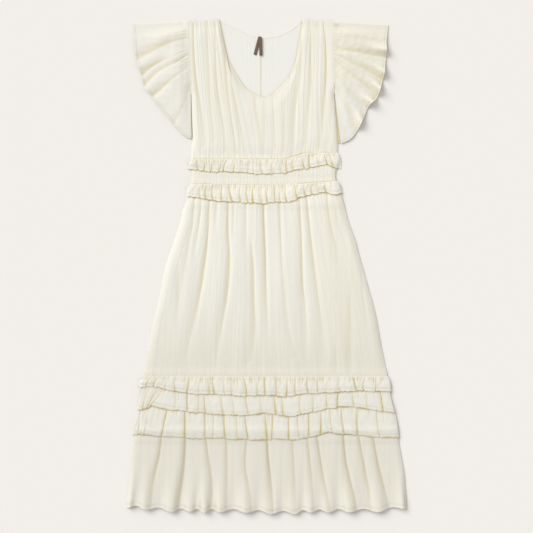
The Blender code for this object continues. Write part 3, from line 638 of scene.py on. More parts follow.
# %% Pressed ruffles and the other back panels
Strip = namedtuple("Strip", "name top bottom overhang")
BACK_STRIPS = [
    Strip("waist_ruffle_upper_back", 260, 236, 5),
    Strip("waist_ruffle_lower_back", 200, 172, 2),
    Strip("tier_ruffle_top_back", -270, -305, 6),
    Strip("tier_ruffle_middle_back", -305, -352, 5),
    Strip("tier_ruffle_bottom_back", -352, -414, 6),
]
RAISED = [(266, 227), (206, 156), (-264, -420)]
STEP_RUN, STEP_UP = 8.0, 1.5
BACK_COLUMNS_ACROSS, BACK_FOLD = 160, 0.8
BACK_PANELS = {
    "waistband_back": (BACK_BODICE_SEAM_Y, BACK_SKIRT_SEAM_Y, 20),
    "skirt_back": (BACK_SKIRT_SEAM_Y, FLOUNCE_SEAM_Y, 90),
    "flounce_back": (FLOUNCE_SEAM_Y, -590.0, 40),
}


def step_over(y):
    """Underside of the back: 0 on the floor, and one layer up over each pressed ruffle."""
    over = [np.minimum(top + STEP_RUN - y, y - low + STEP_RUN) / STEP_RUN for top, low in RAISED]
    return STEP_UP * eased(np.max(over, axis=0))


for strip in BACK_STRIPS:
    down, across = np.linspace(0, 1, 10)[:, None], np.linspace(0, 1, 120)
    y = between(strip.top - SEAM_GAP, strip.bottom, down) + 0 * across
    x = x_across(y, across, -strip.overhang * between(0.2, 1.0, down))
    pleat = np.abs(np.sin(np.pi * x / 23.0 + np.sin(x / 31.0))) ** 0.3
    # Painted shade: the pressed gathers show only as a darker tone
    painted_shade = (1 - pleat) * 0.8
    lay(strip.name, x, y, BACK_LAYER + 0 * x, RUFFLE_CREAM, painted_shade, y - strip.bottom, BACK_LAYER)

for name, (top, bottom, rows) in BACK_PANELS.items():
    down, across = np.linspace(0, 1, rows)[:, None], np.linspace(0, 1, BACK_COLUMNS_ACROSS)
    y = between(top - SEAM_GAP, bottom, down) + 0 * across
    x = x_across(y, across, SIDE_GAP)
    pleat = np.abs(np.sin(np.pi * x / 41.0 + np.sin(x / 57.0))) ** 0.25
    finish = FLOUNCE_CREAM if name == "flounce_back" else BACK_CREAM
    from_hem = y - bottom if name == "flounce_back" else 99.0
    fold = (1 - pleat) * eased(0.5 + 0.7 * uneven(x, 0.35 * y, 70, 90, 8))
    z = BACK_LAYER + step_over(y) + BACK_FOLD * fold
    # Painted shade in the shallow folds
    lay(name, x, y, z, finish, fold * 0.6, from_hem, BACK_LAYER)

back_heap = heap.copy()

# %% [markdown]
# ## The front bodice
# The front is gathered into the shoulders and the waist, so its folds run all the way down and lean
# with the threads. Each row of the grid therefore starts on the neckline and ends on the waist seam:
# the columns are threads of the cloth. The neck edge is rolled narrowly.

# %% Front bodice
# Each row: a thread's share of the way across the waist, then x and y of its top end
FRONT_TOP = [
    (0.00, -190, 598), (0.33, -116, 605), (0.355, -104, 552), (0.38, -94, 504), (0.41, -72, 467),
    (0.44, -53, 436), (0.47, -28, 420), (0.51, -6, 412), (0.55, 13, 419), (0.60, 38, 444),
    (0.635, 58, 467), (0.655, 72, 504), (0.675, 82, 560), (0.69, 89, 605), (1.00, 163, 599),
]
BODICE_FOLDS = [
    Fold(9, 5, [(-178, 598, 2.5), (-178, 540, 3.2), (-175, 491, 3.6), (-171, 452, 3.6),
        (-163, 403, 3.4), (-156, 354, 3.0), (-151, 300, 2.2)]),
    Fold(6, 4, [(-168, 603, 2.4), (-168, 585, 1.8), (-167, 556, 0.0)]),
    Fold(9, 5, [(-145, 603, 2.0), (-143, 540, 1.8), (-137, 379, 1.6), (-129, 310, 1.4)]),
    Fold(8, 5, [(-126, 603, 1.8), (-124, 503, 2.6), (-121, 440, 2.8), (-114, 391, 2.6),
        (-104, 342, 2.2), (-99, 285, 2.0)]),
    Fold(9, 5, [(-115, 600, 1.2), (-102, 545, 2.4), (-100, 499, 3.2), (-96, 440, 3.2),
        (-88, 379, 2.8), (-80, 327, 2.6), (-71, 278, 2.0)]),
    Fold(8, 4, [(-88, 477, 0.0), (-84, 440, 1.8), (-71, 379, 2.2), (-59, 315, 2.0),
        (-53, 281, 1.4)]),
    Fold(8, 5, [(-33, 430, 0.0), (-28, 412, 1.6), (-26, 379, 2.2), (-13, 315, 1.8),
        (-11, 281, 1.2)]),
    Fold(7, 4, [(-6, 403, 1.2), (-4, 350, 1.5), (-4, 281, 1.0)]),
    Fold(7, 4, [(15, 413, 0.8), (16, 391, 1.4), (21, 330, 1.5), (24, 290, 1.0)]),
    Fold(7, 5, [(40, 420, 0.5), (42, 370, 1.4), (42, 327, 1.8), (43, 285, 1.2)]),
    Fold(8, 5, [(85, 592, 1.6), (85, 503, 2.6), (77, 428, 2.6), (69, 379, 2.4), (64, 303, 2.0)]),
    Fold(9, 5, [(107, 603, 1.8), (109, 503, 3.0), (109, 440, 3.0), (103, 391, 2.6), (97, 303, 2.0)]),
    Fold(6, 4, [(125, 603, 2.4), (125, 585, 1.8), (125, 556, 0.0)]),
    Fold(9, 5, [(139, 602, 2.2), (145, 548, 3.2), (147, 491, 3.6), (145, 440, 3.6),
        (140, 391, 3.2), (134, 315, 2.4), (131, 290, 1.8)]),
    Fold(6, 4, [(163, 445, 0.0), (163, 428, 1.6), (159, 354, 1.8), (154, 303, 1.4)]),
]
BODICE_CROWN, NECK_ROLL, ARMHOLE_LOW = 4.2, 4.5, 440.0
NECK_EDGE = [(x, y, 0.0) for _, x, y in FRONT_TOP[1:-1]]

across = np.linspace(0, 1, 230)
strands = np.array(FRONT_TOP)
top_x = np.interp(across, strands[:, 0], strands[:, 1])
top_y = np.interp(across, strands[:, 0], strands[:, 2])
seam_x = x_across(BACK_BODICE_SEAM_Y, across)
down = np.linspace(0, 1, 130)[:, None] ** 1.15
y = between(top_y, along(BODICE_SEAM, seam_x) + SEAM_GAP, down)
top_share = (top_x - edge_at(top_y, 1)) / (edge_at(top_y, 2) - edge_at(top_y, 1))
x = x_across(y, between(top_share, across, down))

to_neck = nearest(x, y, NECK_EDGE)[0]
to_top = np.maximum(top_y - y, 0.0)
to_waist = y - along(BODICE_SEAM, seam_x)
cut, shade_tone = troughs(x, y, BODICE_FOLDS)
lift = BODICE_CROWN * (0.35 + 0.65 * eased(to_top / 45.0)) * (0.42 + 0.58 * eased(to_waist / 40.0))
lift = lift * (1 + 0.12 * uneven(x, y, 60, 220, 11))
lift += 0.25 * uneven(seam_x, 0.3 * y, 10, 90, 12) - 0.4 * cut
gather_length = np.clip(24.0 + 14.0 * waver(seam_x, 30, 14), 8, 60)
gathers, threads = ribs(seam_x, 8.5, 13), ribs(seam_x, 7.0, 15)
fade = np.exp(-to_waist / gather_length)
lift += 1.2 * gathers * fade * (0.4 + 0.6 * eased(to_waist / 8.0)) + 0.35 * threads
lift = lift * between(0.25, 1.0, eased(to_neck / 8.0))
lift += 0.6 * np.sqrt(np.clip(1 - (2 * to_neck / NECK_ROLL - 1) ** 2, 0, 1))
sides = between(1.0, rolled(x, y, 14.0), eased((ARMHOLE_LOW - y) / 25.0))
lift = settled(lift) * sides
# Painted shade: in the folds, just beyond the rolled neck edge, and between the gathers and fine threads
painted_shade = np.clip(shade_tone / 3.6, 0, 1) ** 1.3 + 0.28 * np.exp(-(((to_neck - NECK_ROLL - 0.5) / 0.8) ** 2))
painted_shade += 0.7 * np.clip(0.45 - gathers, 0, 1) * fade
painted_shade += 0.45 * np.clip(0.5 - threads, 0, 1)
z = beneath(x, y) + GAP + LAYER + lift
lay("front_bodice", x, y, z, FRONT_CREAM, painted_shade)

# %% [markdown]
# ## The shirred waistband
# Between the two waist ruffles the cloth is shirred: rows of elastic thread draw it into upright ribs
# a few millimetres wide. The ribs are the gathers formula with a small pitch, pinched a little where
# the rows of elastic run across.

# %% Front waistband
down, across = np.linspace(0, 1, 40)[:, None], np.linspace(0, 1, 330)
seam_x = x_across(WAIST_Y, across)
y = between(along(BODICE_SEAM, seam_x) - SEAM_GAP, along(SKIRT_SEAM, seam_x) + SEAM_GAP, down)
x = x_across(y, across)
elastic = np.abs(np.sin(np.pi * down * 5.0)) ** 0.5
rib = ribs(seam_x + 1.5 * uneven(seam_x, y, 60, 40, 20), 6.6, 21)
lift = between(0.2, 1.8, eased(down / 0.6)) + 0.6 * rib * (0.6 + 0.4 * elastic) * eased(down / 0.3)
# Painted shade between the ribs, and a little everywhere
painted_shade = 0.05 + np.clip(0.5 - rib, 0, 1) * 0.4
z = beneath(x, y, BODICE_SEAM) + GAP + LAYER + lift * rolled(x, y, 12.0)
lay("waistband_front", x, y, z, FRONT_CREAM, painted_shade)

# %% [markdown]
# ## The skirt
# The skirt hangs from the lower waist seam. Short gathers crowd under the ruffle, and about a dozen
# of them run on as soft folds of uneven length, which drift outwards with the flare and die away.
# On the right, two fine lines run beside the side seam. They may be creases or the mouth of a
# pocket, and are laid as two narrow folds.

# %% Front skirt
SKIRT_FOLDS = [
    Fold(10, 5, [(-173, 200, 2.2), (-180, 102, 2.6), (-186, 77, 2.2), (-197, 11, 1.4),
        (-212, -82, 0.6)]),
    Fold(9, 4, [(-156, 200, 2.6), (-163, 109, 2.6), (-173, 53, 1.8), (-183, -4, 0.0)]),
    Fold(12, 6, [(-137, 200, 2.8), (-143, 65, 3.6), (-151, 4, 4.0), (-158, -45, 3.8),
        (-175, -126, 2.4), (-195, -205, 1.2), (-202, -249, 0.0)]),
    Fold(7, 4, [(-119, 200, 2.4), (-123, 126, 1.6), (-124, 92, 0.0)]),
    Fold(11, 5, [(-92, 200, 3.2), (-94, 77, 3.6), (-89, 28, 4.0), (-93, -58, 3.8),
        (-109, -143, 2.4), (-120, -205, 1.6), (-126, -254, 0.2)]),
    Fold(7, 4, [(-78, 200, 2.6), (-81, 85, 1.6), (-82, 45, 0.0)]),
    Fold(7, 4, [(-49, 200, 2.8), (-50, 70, 2.0), (-51, 25, 0.0)]),
    Fold(12, 5, [(-40, 85, 0.0), (-36, 45, 2.2), (-31, 4, 3.4), (-31, -82, 4.0), (-26, -156, 2.8),
        (-39, -229, 1.0)]),
    Fold(12, 5, [(-9, 200, 4.6), (-2, 40, 4.6), (-1, -58, 3.8), (1, -131, 1.6), (4, -192, 0.0)]),
    Fold(9, 5, [(32, 200, 2.8), (36, 53, 2.2), (43, -45, 1.4), (53, -156, 1.6), (72, -217, 1.0)]),
    Fold(10, 5, [(80, 200, 2.8), (87, 40, 3.4), (89, -58, 3.6), (94, -82, 2.8), (97, -180, 1.6),
        (97, -244, 0.2)]),
    Fold(10, 5, [(97, 200, 2.8), (104, 109, 3.4), (114, 28, 3.4), (124, -58, 2.6),
        (136, -156, 1.6), (143, -234, 0.2)]),
    Fold(9, 5, [(147, 200, 2.4), (151, 138, 2.4), (160, 89, 2.0), (170, 53, 1.4), (180, -4, 0.0)]),
    Fold(9, 6, [(205, -33, 0.0), (205, -107, 1.8), (205, -217, 1.8), (205, -258, 0.8)]),
    Fold(9, 6, [(170, -156, 0.0), (170, -229, 1.8), (170, -263, 0.8)]),
    Fold(10, 6, [(-214, 28, 0.0), (-214, -33, 1.8), (-214, -82, 1.8), (-222, -156, 0.0)]),
    Fold(3, 2, [(191, 129, 0.8), (205, 85, 1.0), (222, 23, 1.0)]),
    Fold(3, 2, [(232, 9, 1.0), (235, -50, 1.4), (240, -94, 1.2), (251, -168, 0.0)]),
]
SKIRT_CROWN, TIER_TOP_Y = 5.0, -270.0

across = np.linspace(0, 1, 300)
down = np.concatenate([np.linspace(0, 0.7855, 130), [0.7875], np.linspace(0.79, 1, 14)])[:, None]
seam_x = x_across(BACK_SKIRT_SEAM_Y, across)
y = between(along(SKIRT_SEAM, seam_x) - SEAM_GAP, FLOUNCE_SEAM_Y + SEAM_GAP, down)
x = x_across(y, across)
cut, shade_tone = troughs(x, y, SKIRT_FOLDS)
from_waist = along(SKIRT_SEAM, seam_x) - y
above_tier = y - TIER_TOP_Y
lift = SKIRT_CROWN * (0.08 + 0.92 * eased(from_waist / 60.0)) * (0.36 + 0.64 * eased(above_tier / 90.0))
lift = lift * (1 + 0.14 * uneven(x, y, 90, 260, 31))
lift += 0.12 * uneven(x, 0.3 * y, 14, 90, 32) - 0.74 * cut
lift += 0.15 * uneven(seam_x, 0.12 * y, 7, 60, 36)
gather_length = np.clip(50.0 + 26.0 * waver(seam_x, 40, 35), 15, 110)
lift += 1.3 * ribs(seam_x, 9.5, 33) * np.exp(-from_waist / gather_length) * eased(from_waist / 12.0)
lift += 0.6 * ribs(x, 12.0, 34) * np.exp(-np.maximum(above_tier, 0) / 20.0) * eased(above_tier / 18.0)
lift = settled(lift)
lift = np.where(above_tier < -1.0, 0.4 + 0.2 * lift, lift) * rolled(x, y, 18.0)
# Painted shade: in the folds, and a little more towards the hem and towards the right side
shaded = np.maximum(eased(-(y + 60.0) / 200.0), eased((x - 90.0) / 90.0))
painted_shade = np.clip(shade_tone / 4.2, 0, 1) ** 1.2 + 0.14 * shaded
z = beneath(x, y, SKIRT_SEAM) + GAP + LAYER + lift
lay("skirt_front", x, y, z, FRONT_CREAM, painted_shade)

# %% [markdown]
# ## The hem flounce
# A second, fuller panel is gathered on below the tiers. Its folds deepen and fan out towards the hem,
# which stands off the floor between them: seen from above, the hem is a row of shallow arches.

# %% Front flounce
FLOUNCE_FOLDS = [
    Fold(12, 6, [(-255, -398, 3.0), (-261, -462, 4.2), (-278, -523, 4.8), (-284, -595, 5.5)]),
    Fold(14, 9, [(-197, -398, 4.0), (-202, -499, 5.4), (-214, -572, 6.4), (-217, -600, 6.5)]),
    Fold(11, 6, [(-151, -398, 2.6), (-143, -462, 3.6), (-134, -523, 3.8), (-129, -600, 4.4)]),
    Fold(10, 6, [(-99, -398, 2.6), (-97, -499, 3.0), (-97, -600, 3.6)]),
    Fold(11, 6, [(-45, -398, 2.8), (-55, -486, 3.2), (-43, -535, 3.8), (-38, -600, 5.0)]),
    Fold(12, 5, [(1, -398, 3.8), (4, -462, 5.2), (11, -523, 5.8), (16, -602, 6.4)]),
    Fold(11, 7, [(62, -398, 2.4), (67, -499, 2.8), (72, -602, 3.6)]),
    Fold(10, 6, [(97, -398, 2.6), (109, -499, 3.4), (116, -600, 4.2)]),
    Fold(10, 6, [(121, -398, 3.4), (136, -499, 4.2), (156, -600, 5.0)]),
    Fold(12, 5, [(187, -398, 3.8), (195, -486, 5.0), (212, -548, 5.6), (222, -600, 6.2)]),
    Fold(11, 6, [(222, -396, 3.0), (239, -486, 3.8), (251, -548, 4.2), (256, -600, 4.6)]),
    Fold(12, 6, [(258, -398, 3.0), (273, -486, 4.4), (290, -548, 5.2), (300, -600, 5.6)]),
]
HEM_TIPS = [
    (-344, -589), (-295, -593), (-231, -599), (-187, -598), (-153, -600), (-114, -599), (-48, -600),
    (11, -604), (70, -604), (109, -600), (151, -600), (202, -599), (271, -599), (344, -591),
]
HEM_ARCH, HEM_STAND = 6.5, 12.0
FLOUNCE_SEAM = level(FLOUNCE_SEAM_Y)

down, across = np.linspace(0, 1, 70)[:, None] ** 0.9, np.linspace(0, 1, 420)
hem_x = between(-HEM_WIDTH / 2, HEM_WIDTH / 2, across)
tips = np.array(HEM_TIPS, dtype=float)
tip_place = np.interp(hem_x, tips[:, 0], np.arange(len(tips)))
hem_y = along(HEM_TIPS, hem_x) + HEM_ARCH * np.sin(np.pi * tip_place) ** 2
y = between(FLOUNCE_SEAM_Y - SEAM_GAP, hem_y, down)
x = x_across(y, across)
cut, shade_tone = troughs(x, y, FLOUNCE_FOLDS)
stand = HEM_STAND * (1.1 - 0.7 * np.sin(np.pi * tip_place) ** 2)
lift = between(2.6, stand, down**3.4) * (1 + 0.12 * uneven(x, y, 80, 200, 41))
lift += 0.12 * uneven(x, 0.3 * y, 14, 90, 42) - cut * between(0.16, 0.30, down**2)
lift += 0.4 * crests(x, y, FLOUNCE_FOLDS, 20.0, 13.0) * down**5
lift = settled(lift) * rolled(x, y, 14.0)
# Painted shade in the folds, paler towards the hem, and a little everywhere
painted_shade = 0.07 + np.clip(shade_tone / 4.3, 0, 1) * between(1.0, 0.4, down**2)
z = beneath(x, y, FLOUNCE_SEAM) + GAP + LAYER + lift
lay("flounce_front", x, y, z, FLOUNCE_CREAM, painted_shade, y - hem_y)

# %% [markdown]
# ## The ruffles
# A ruffle is a strip about 1.4 times as long as the seam it is sewn to. The seam pinches it into
# narrow valleys, and between them it opens into round lobes that lie down again at the free edge.
# Each valley is given in a table, at the seam and at the edge, so a lobe may lean. Simulated ruffles
# look lively, but never like the ones in front of the lens.

# %% The ruffle formula
# Each row of a table of gathers: a valley's x at the seam, its x at the free edge, and its depth
PER_LOBE, RUFFLE_ROWS = 30, 20
END_DEPTH, TUCK, RUFFLE_LAYER = 0.9, 1.5, 0.6
# Short creases of a lobe: their number, then the limits of their start, reach and size
SHORT_CREASES, SHORT_LIMITS = 9, ((0.05, 0.95), (0.2, 0.9), (0.3, 1.1))


def ruffle(name, seam, ends, edge, gathers, lift, scallop, low_lobes=(), edge_shade=0.2, seed=0):
    """Height: the lift times 1 less the valleys. A valley is depth * exp(-(distance / width)^1.2),
    with a steep bank to its right and a gentle one to its left; it bows a little to one side, and
    its depth differs between seam and edge. A lobe rises from the seam to half way down, and sinks
    again towards the free edge. Short creases start at the seam and fade. Each lobe hangs a little
    lower or higher than the last, with a step at the valley. The ruffle starts level with the
    piece above, and its first row is tucked under that."""
    draw = np.random.default_rng(seed)
    first, last = (ends[0], edge[0][0], END_DEPTH), (ends[1], edge[-1][0], END_DEPTH)
    seams, edges, depths = np.array([first, *gathers, last], dtype=float).T
    lobes = len(seams) - 1
    heights = lift * draw.uniform(0.7, 1.2, lobes) * np.clip(np.diff(edges) / 20.0, 0.5, 1.0)
    for k, factor in low_lobes:
        heights[k] *= factor
    step = np.arange(lobes * PER_LOBE + 1)
    lobe = np.minimum(step // PER_LOBE, lobes - 1)
    share = step / PER_LOBE - lobe
    share = share - 0.11 * np.sin(2 * np.pi * share)
    place = lobe + share
    by_valley = partial(np.interp, place, np.arange(lobes + 1))
    by_lobe = partial(np.interp, place, np.arange(lobes) + 0.5)
    down = np.linspace(0, 1, RUFFLE_ROWS)[:, None] ** 1.3
    width = between(np.diff(seams)[lobe], np.diff(edges)[lobe], down)
    steep = np.exp(-((share * width / between(1.4, 2.8, down)) ** 1.2))
    gentle = np.exp(-(((1 - share) * width / between(3.5, 8.0, down)) ** 1.2))
    at_seam, at_edge = draw.uniform(0.3, 1.1, lobes + 1), draw.uniform(0.7, 1.1, lobes + 1)
    valley = between(depths * at_seam, depths * at_edge, eased(down))
    cut = np.maximum(valley[:, lobe] * steep, valley[:, lobe + 1] * gentle)
    shade_tone = np.maximum(valley[:, lobe] * steep, valley[:, lobe + 1] * gentle**2.5)
    short = 0.0
    for _ in range(SHORT_CREASES):
        start, reach, size = (draw.uniform(*limits, lobes) for limits in SHORT_LIMITS)
        near = np.abs(share - start[lobe]) * width / between(1.2, 2.6, down)
        fading = size[lobe] * (1 - eased(down / reach[lobe]))
        short = np.maximum(short, fading * np.exp(-(near**1.4)))
    full = by_lobe(heights)
    sinks = by_lobe(np.random.default_rng(seed + 100).uniform(0.5, 0.95, lobes))
    full = full * np.clip(1 - cut, 0, 1) * (0.36 + 0.64 * eased(down / 0.5))
    full = full * (1 - sinks * eased((down - 0.5) / 0.5))
    full += 0.22 * uneven(20.0 * place, 30.0 * down, 9, 14, seed + 3) * eased(down / 0.3)
    full = settled(full - 1.5 * short, 0.2)
    shade_tone = np.maximum(shade_tone, 0.95 * short**1.5)
    seam_x, edge_x = by_valley(seams), by_valley(edges)
    bow = by_valley(draw.uniform(-3.0, 3.0, lobes + 1)) * np.sin(np.pi * down)
    droop, tilt = draw.uniform(-0.6, 0.9, lobes), draw.uniform(-0.4, 1.0, lobes)
    hang = between(droop[np.maximum(lobe - 1, 0)], droop[lobe], eased(share * width[-1] / 3.5))
    hang += tilt[lobe] * (share - 0.5) - 0.7 * steep[-1] * depths[lobe]
    hang += 0.3 * waver(edge_x, 11, seed + 7)
    bottom = along(edge, edge_x) - scallop * hang
    x = between(seam_x, edge_x, down**0.85) + bow - 0.3 * full * down
    y = between(along(seam, seam_x) - SEAM_GAP, bottom, down)
    ground = between(beneath(x, y, seam), beneath(x, y, seam, 1), eased((down - 0.4) / 0.6))
    lowest = ground + GAP + RUFFLE_LAYER
    above = sampled(heap, x, along(seam, seam_x) + 2.0)
    z = between(np.maximum(above, lowest), lowest + full, eased(down / 0.3))
    y[0] += TUCK
    z[0] -= LAYER + GAP
    # Painted shade in the valleys and short creases, lighter at the ends and right at the seam
    painted_shade = np.clip(1.3 * shade_tone, 0, 1) ** 1.4 * eased(place / 0.4) * eased((lobes - place) / 0.4)
    painted_shade = painted_shade * (0.5 + 0.5 * eased(down / 0.12))
    # Painted shadow along the free edge, where it stands off the cloth below
    painted_shade[-1] = np.maximum(painted_shade[-1], edge_shade + 0.3 * waver(edge_x, 25, seed + 9))
    lay(name + "_front", x, y, z, RUFFLE_CREAM, painted_shade, y - bottom, RUFFLE_LAYER)


# %% Waist ruffles
UPPER_EDGE = [
    (-195, 238), (-126, 232), (-28, 228), (45, 229), (82, 237), (153, 249), (168, 241), (183, 240),
]
UPPER_GATHERS = [
    (-166, -168, 0.7), (-152, -154, 0.9), (-136, -137, 0.9), (-113, -117, 1.0), (-99, -106, 0.8),
    (-79, -82, 1.0), (-60, -60, 0.6), (-46, -46, 0.7), (-31, -32, 0.5), (-13, -11, 0.8),
    (16, 14, 0.8), (34, 37, 0.5), (49, 50, 1.0), (68, 65, 0.7), (91, 92, 0.8), (103, 104, 1.0),
    (122, 130, 0.7), (140, 149, 0.9), (155, 163, 0.9),
]
LOWER_EDGE = [
    (-195, 171), (-155, 166), (-114, 159), (-11, 154), (57, 158), (82, 168), (143, 182), (168, 175),
    (187, 181),
]
LOWER_GATHERS = [
    (-160, -163, 0.7), (-147, -149, 0.8), (-131, -132, 1.0), (-110, -110, 0.9), (-89, -84, 1.0),
    (-66, -64, 0.8), (-49, -46, 0.8), (-34, -33, 1.0), (-15, -13, 0.6), (-3, 2, 1.0), (17, 20, 0.8),
    (32, 33, 0.7), (47, 49, 0.9), (73, 75, 1.0), (92, 96, 0.8), (110, 111, 0.8), (129, 128, 0.5),
    (143, 147, 0.9),
]
ruffle(
    "waist_ruffle_upper", BODICE_SEAM, (-187, 174), UPPER_EDGE, UPPER_GATHERS,
    lift=2.1, scallop=2.4, edge_shade=0.45, seed=51,
)
ruffle(
    "waist_ruffle_lower", SKIRT_SEAM, (-187, 174), LOWER_EDGE, LOWER_GATHERS,
    lift=2.2, scallop=2.4, edge_shade=0.45, seed=52,
)

# %% Tier ruffles, laid from the lowest up
BOTTOM_TIER_EDGE = [
    (-326, -409), (-280, -415), (-65, -422), (82, -422), (131, -413), (151, -404), (175, -408),
    (258, -417), (325, -418),
]
BOTTOM_TIER_GATHERS = [
    (-306, -315, 0.6), (-286, -300, 0.5), (-239, -257, 1.0), (-200, -200, 1.0), (-154, -152, 0.8),
    (-130, -132, 0.5), (-102, -101, 0.8), (-75, -72, 0.5), (-53, -45, 0.9), (-4, 2, 1.0),
    (15, 12, 0.8), (52, 54, 0.8), (75, 80, 0.5), (103, 103, 0.8), (132, 132, 1.0), (158, 160, 0.6),
    (182, 190, 0.8), (222, 222, 1.0), (270, 276, 0.7),
]
MIDDLE_TIER_EDGE = [
    (-316, -349), (-290, -348), (-283, -341), (-231, -351), (-138, -360), (-45, -364), (-6, -359),
    (57, -366), (111, -356), (156, -344), (229, -343), (278, -354), (314, -355),
]
MIDDLE_TIER_GATHERS = [
    (-288, -304, 0.7), (-256, -293, 0.9), (-240, -284, 1.0), (-222, -226, 0.5), (-192, -194, 0.9),
    (-165, -168, 0.6), (-148, -150, 0.9), (-107, -107, 0.6), (-81, -79, 0.4), (-57, -44, 0.9),
    (-16, -14, 0.5), (23, 23, 1.0), (43, 40, 0.7), (82, 82, 0.7), (115, 113, 0.6), (151, 147, 0.6),
    (180, 172, 0.9), (214, 214, 0.8), (246, 246, 0.6), (275, 285, 0.8),
]
TOP_TIER_EDGE = [
    (-317, -294), (-266, -292), (-241, -301), (-202, -309), (-65, -316), (50, -316), (102, -309),
    (224, -305), (306, -303),
]
TOP_TIER_GATHERS = [
    (-286, -295, 0.7), (-262, -277, 1.0), (-240, -248, 0.6), (-221, -224, 0.8), (-190, -195, 0.8),
    (-163, -165, 0.5), (-141, -140, 0.7), (-131, -127, 1.0), (-104, -102, 0.5), (-84, -85, 0.7),
    (-57, -49, 0.9), (-25, -23, 0.7), (-5, -4, 1.0), (23, 23, 0.8), (49, 49, 1.0), (70, 70, 0.7),
    (99, 102, 0.8), (125, 126, 0.8), (147, 145, 0.6), (178, 178, 0.7), (212, 220, 1.0),
    (241, 237, 0.7), (266, 266, 0.6),
]
ruffle(
    "tier_ruffle_bottom", level(-332), (-307, 305), BOTTOM_TIER_EDGE, BOTTOM_TIER_GATHERS,
    lift=2.2, scallop=2.6, seed=53,
)
ruffle(
    "tier_ruffle_middle", level(-283), (-301, 298), MIDDLE_TIER_EDGE, MIDDLE_TIER_GATHERS,
    lift=2.1, scallop=2.4, low_lobes=[(0, 0.2)], seed=54,
)
ruffle(
    "tier_ruffle_top", level(-270), (-299, 297), TOP_TIER_EDGE, TOP_TIER_GATHERS,
    lift=2.1, scallop=2.4, seed=55,
)

# %% [markdown]
# ## The flutter sleeves
# Each sleeve is one piece of cloth, folded over along its top: the back half lies on the floor and the
# front half falls over it in waves that fan out from the armhole. The grid runs from the underarm of
# the back half up to the fold and down the front half again, and each row runs from the armhole to
# the hem. At the hem the waves stand up off the floor, which throws the soft shadows beside the
# dress.

# %% The sleeve formula
SLEEVE_COLUMNS, SLEEVE_ROWS, BACK_COLUMNS = 160, 60, 40
SLEEVE_STAND, JOIN_Y, SLIT_Y = 8.0, ARMHOLE_LOW + 14.0, ARMHOLE_LOW + 12.0


def sleeve(name, sections, folds, side, depth, crest, back_lift, slit, shaded, seed):
    """Front half: leaves the armhole at the bodice's own height, stands highest a third of the way
    out and sinks towards the hem, less depth times its folds, and plus a crest beside each of
    them. Back half: flat, raised a little where it shows beside the body. Between them a half
    circle turns the cloth over. Low down, a slit opens between the front half and the body."""
    edge = 1 if side < 0 else 2
    table = rounded(sections)
    turn = np.linspace(-np.pi / 2, np.pi / 2, 7)[1:-1]
    back_place, front_place = np.linspace(1, 0, BACK_COLUMNS), np.linspace(0, 1, SLEEVE_COLUMNS)
    place = np.concatenate([back_place, 0 * turn, front_place])
    layer = np.concatenate([np.full(BACK_COLUMNS, -1.0), np.sin(turn), np.full(SLEEVE_COLUMNS, 1.0)])
    is_back, is_turn = layer < -0.999, np.abs(layer) < 0.999
    steps = np.linspace(0, 1, len(table))
    arm_y, hem_x, hem_y = (np.interp(place, steps, column) for column in table.T)
    hem_x = np.where(is_back, hem_x - side * 3.0, hem_x)
    hem_x = np.where(is_back & (place > 0.99), edge_at(hem_y, edge) + side, hem_x)
    out = np.linspace(0, 1, SLEEVE_ROWS)[:, None] ** 1.5
    arm_x = edge_at(arm_y, edge) + side * SIDE_GAP
    x, y = between(arm_x, hem_x, out), between(arm_y, hem_y, out)
    body = edge_at(y, edge)
    opened = slit * eased((ARMHOLE_LOW - 10.0 - y) / 80.0)
    clear = np.where((out > 0) & ~is_back, SIDE_GAP + opened, SIDE_GAP)
    x = np.where(side * (x - body) < clear, body + side * clear, x)
    from_body = eased(side * (x - body) / 30.0)

    cut, shade_tone = troughs(x, y, folds)
    lift = SLEEVE_STAND * (0.45 + 0.55 * eased(out / 0.3)) * (1 - 0.6 * eased((out - 0.3) / 0.7))
    lift = lift * (1 + 0.1 * uneven(x, y, 60, 60, seed + 1))
    lift += 0.3 * uneven(x, y, 18, 18, seed + 2) - depth * cut
    lift += crest * crests(x, y, folds, 16.0, 11.0) * out**4
    puckers, fade = ribs(arm_y, 8.0, seed), np.exp(-out / (0.12 + 0.08 * np.sin(arm_y / 9.0)))
    lift += 2.2 * puckers * fade
    top = 2 * LAYER + GAP + 0.5
    front = top + settled(lift) * eased(place / 0.12) * between(0.5, 1.0, eased((1 - place) / 0.15))
    sewn = np.maximum(sampled(heap, arm_x - side * 3.0, arm_y - 2.0), top)
    near_slit = eased((SLIT_Y - y) / 30.0) * (1 - from_body)
    front = between(front, np.minimum(top + 2.2, front), near_slit)
    joined = eased((arm_y - ARMHOLE_LOW) / 14.0) * (1 - eased(out / 0.12))
    front = between(front, np.minimum(sewn, front + 5.0), joined)
    back = back_lift * eased((place - 0.88) / 0.12) * eased(out / 0.3)
    z = np.where(is_turn, top / 2 * (1 + layer), np.where(is_back, back, front))
    y = np.where(is_turn, y + top / 2 * np.sqrt(1 - layer**2), y)
    tucked = (arm_y > JOIN_Y) & (layer > 0.999) & (out == 0)
    x, z = np.where(tucked, x - side * TUCK, x), np.where(tucked, z - LAYER - GAP, z)
    # Painted shade in the folds and between the puckers at the armhole
    painted_shade = np.clip(shade_tone / 6.8, 0, 1) ** 1.2 + 1.2 * np.clip(0.5 - puckers, 0, 1) * fade
    # Painted shade: the back half where it shows in the slit, and, by shaded, the upper part of the front
    # half
    painted_shade = np.where(is_back, place > 0.85, painted_shade + shaded * eased((y - 400.0) / 80.0))
    to_hem = (1 - out) * np.hypot(hem_x - arm_x, hem_y - arm_y)
    made = [np.broadcast_to(grid, x.shape)[::side].T for grid in (x, y, z, painted_shade, to_hem)]
    lay(name, *made[:3], SLEEVE_CREAM, *made[3:])


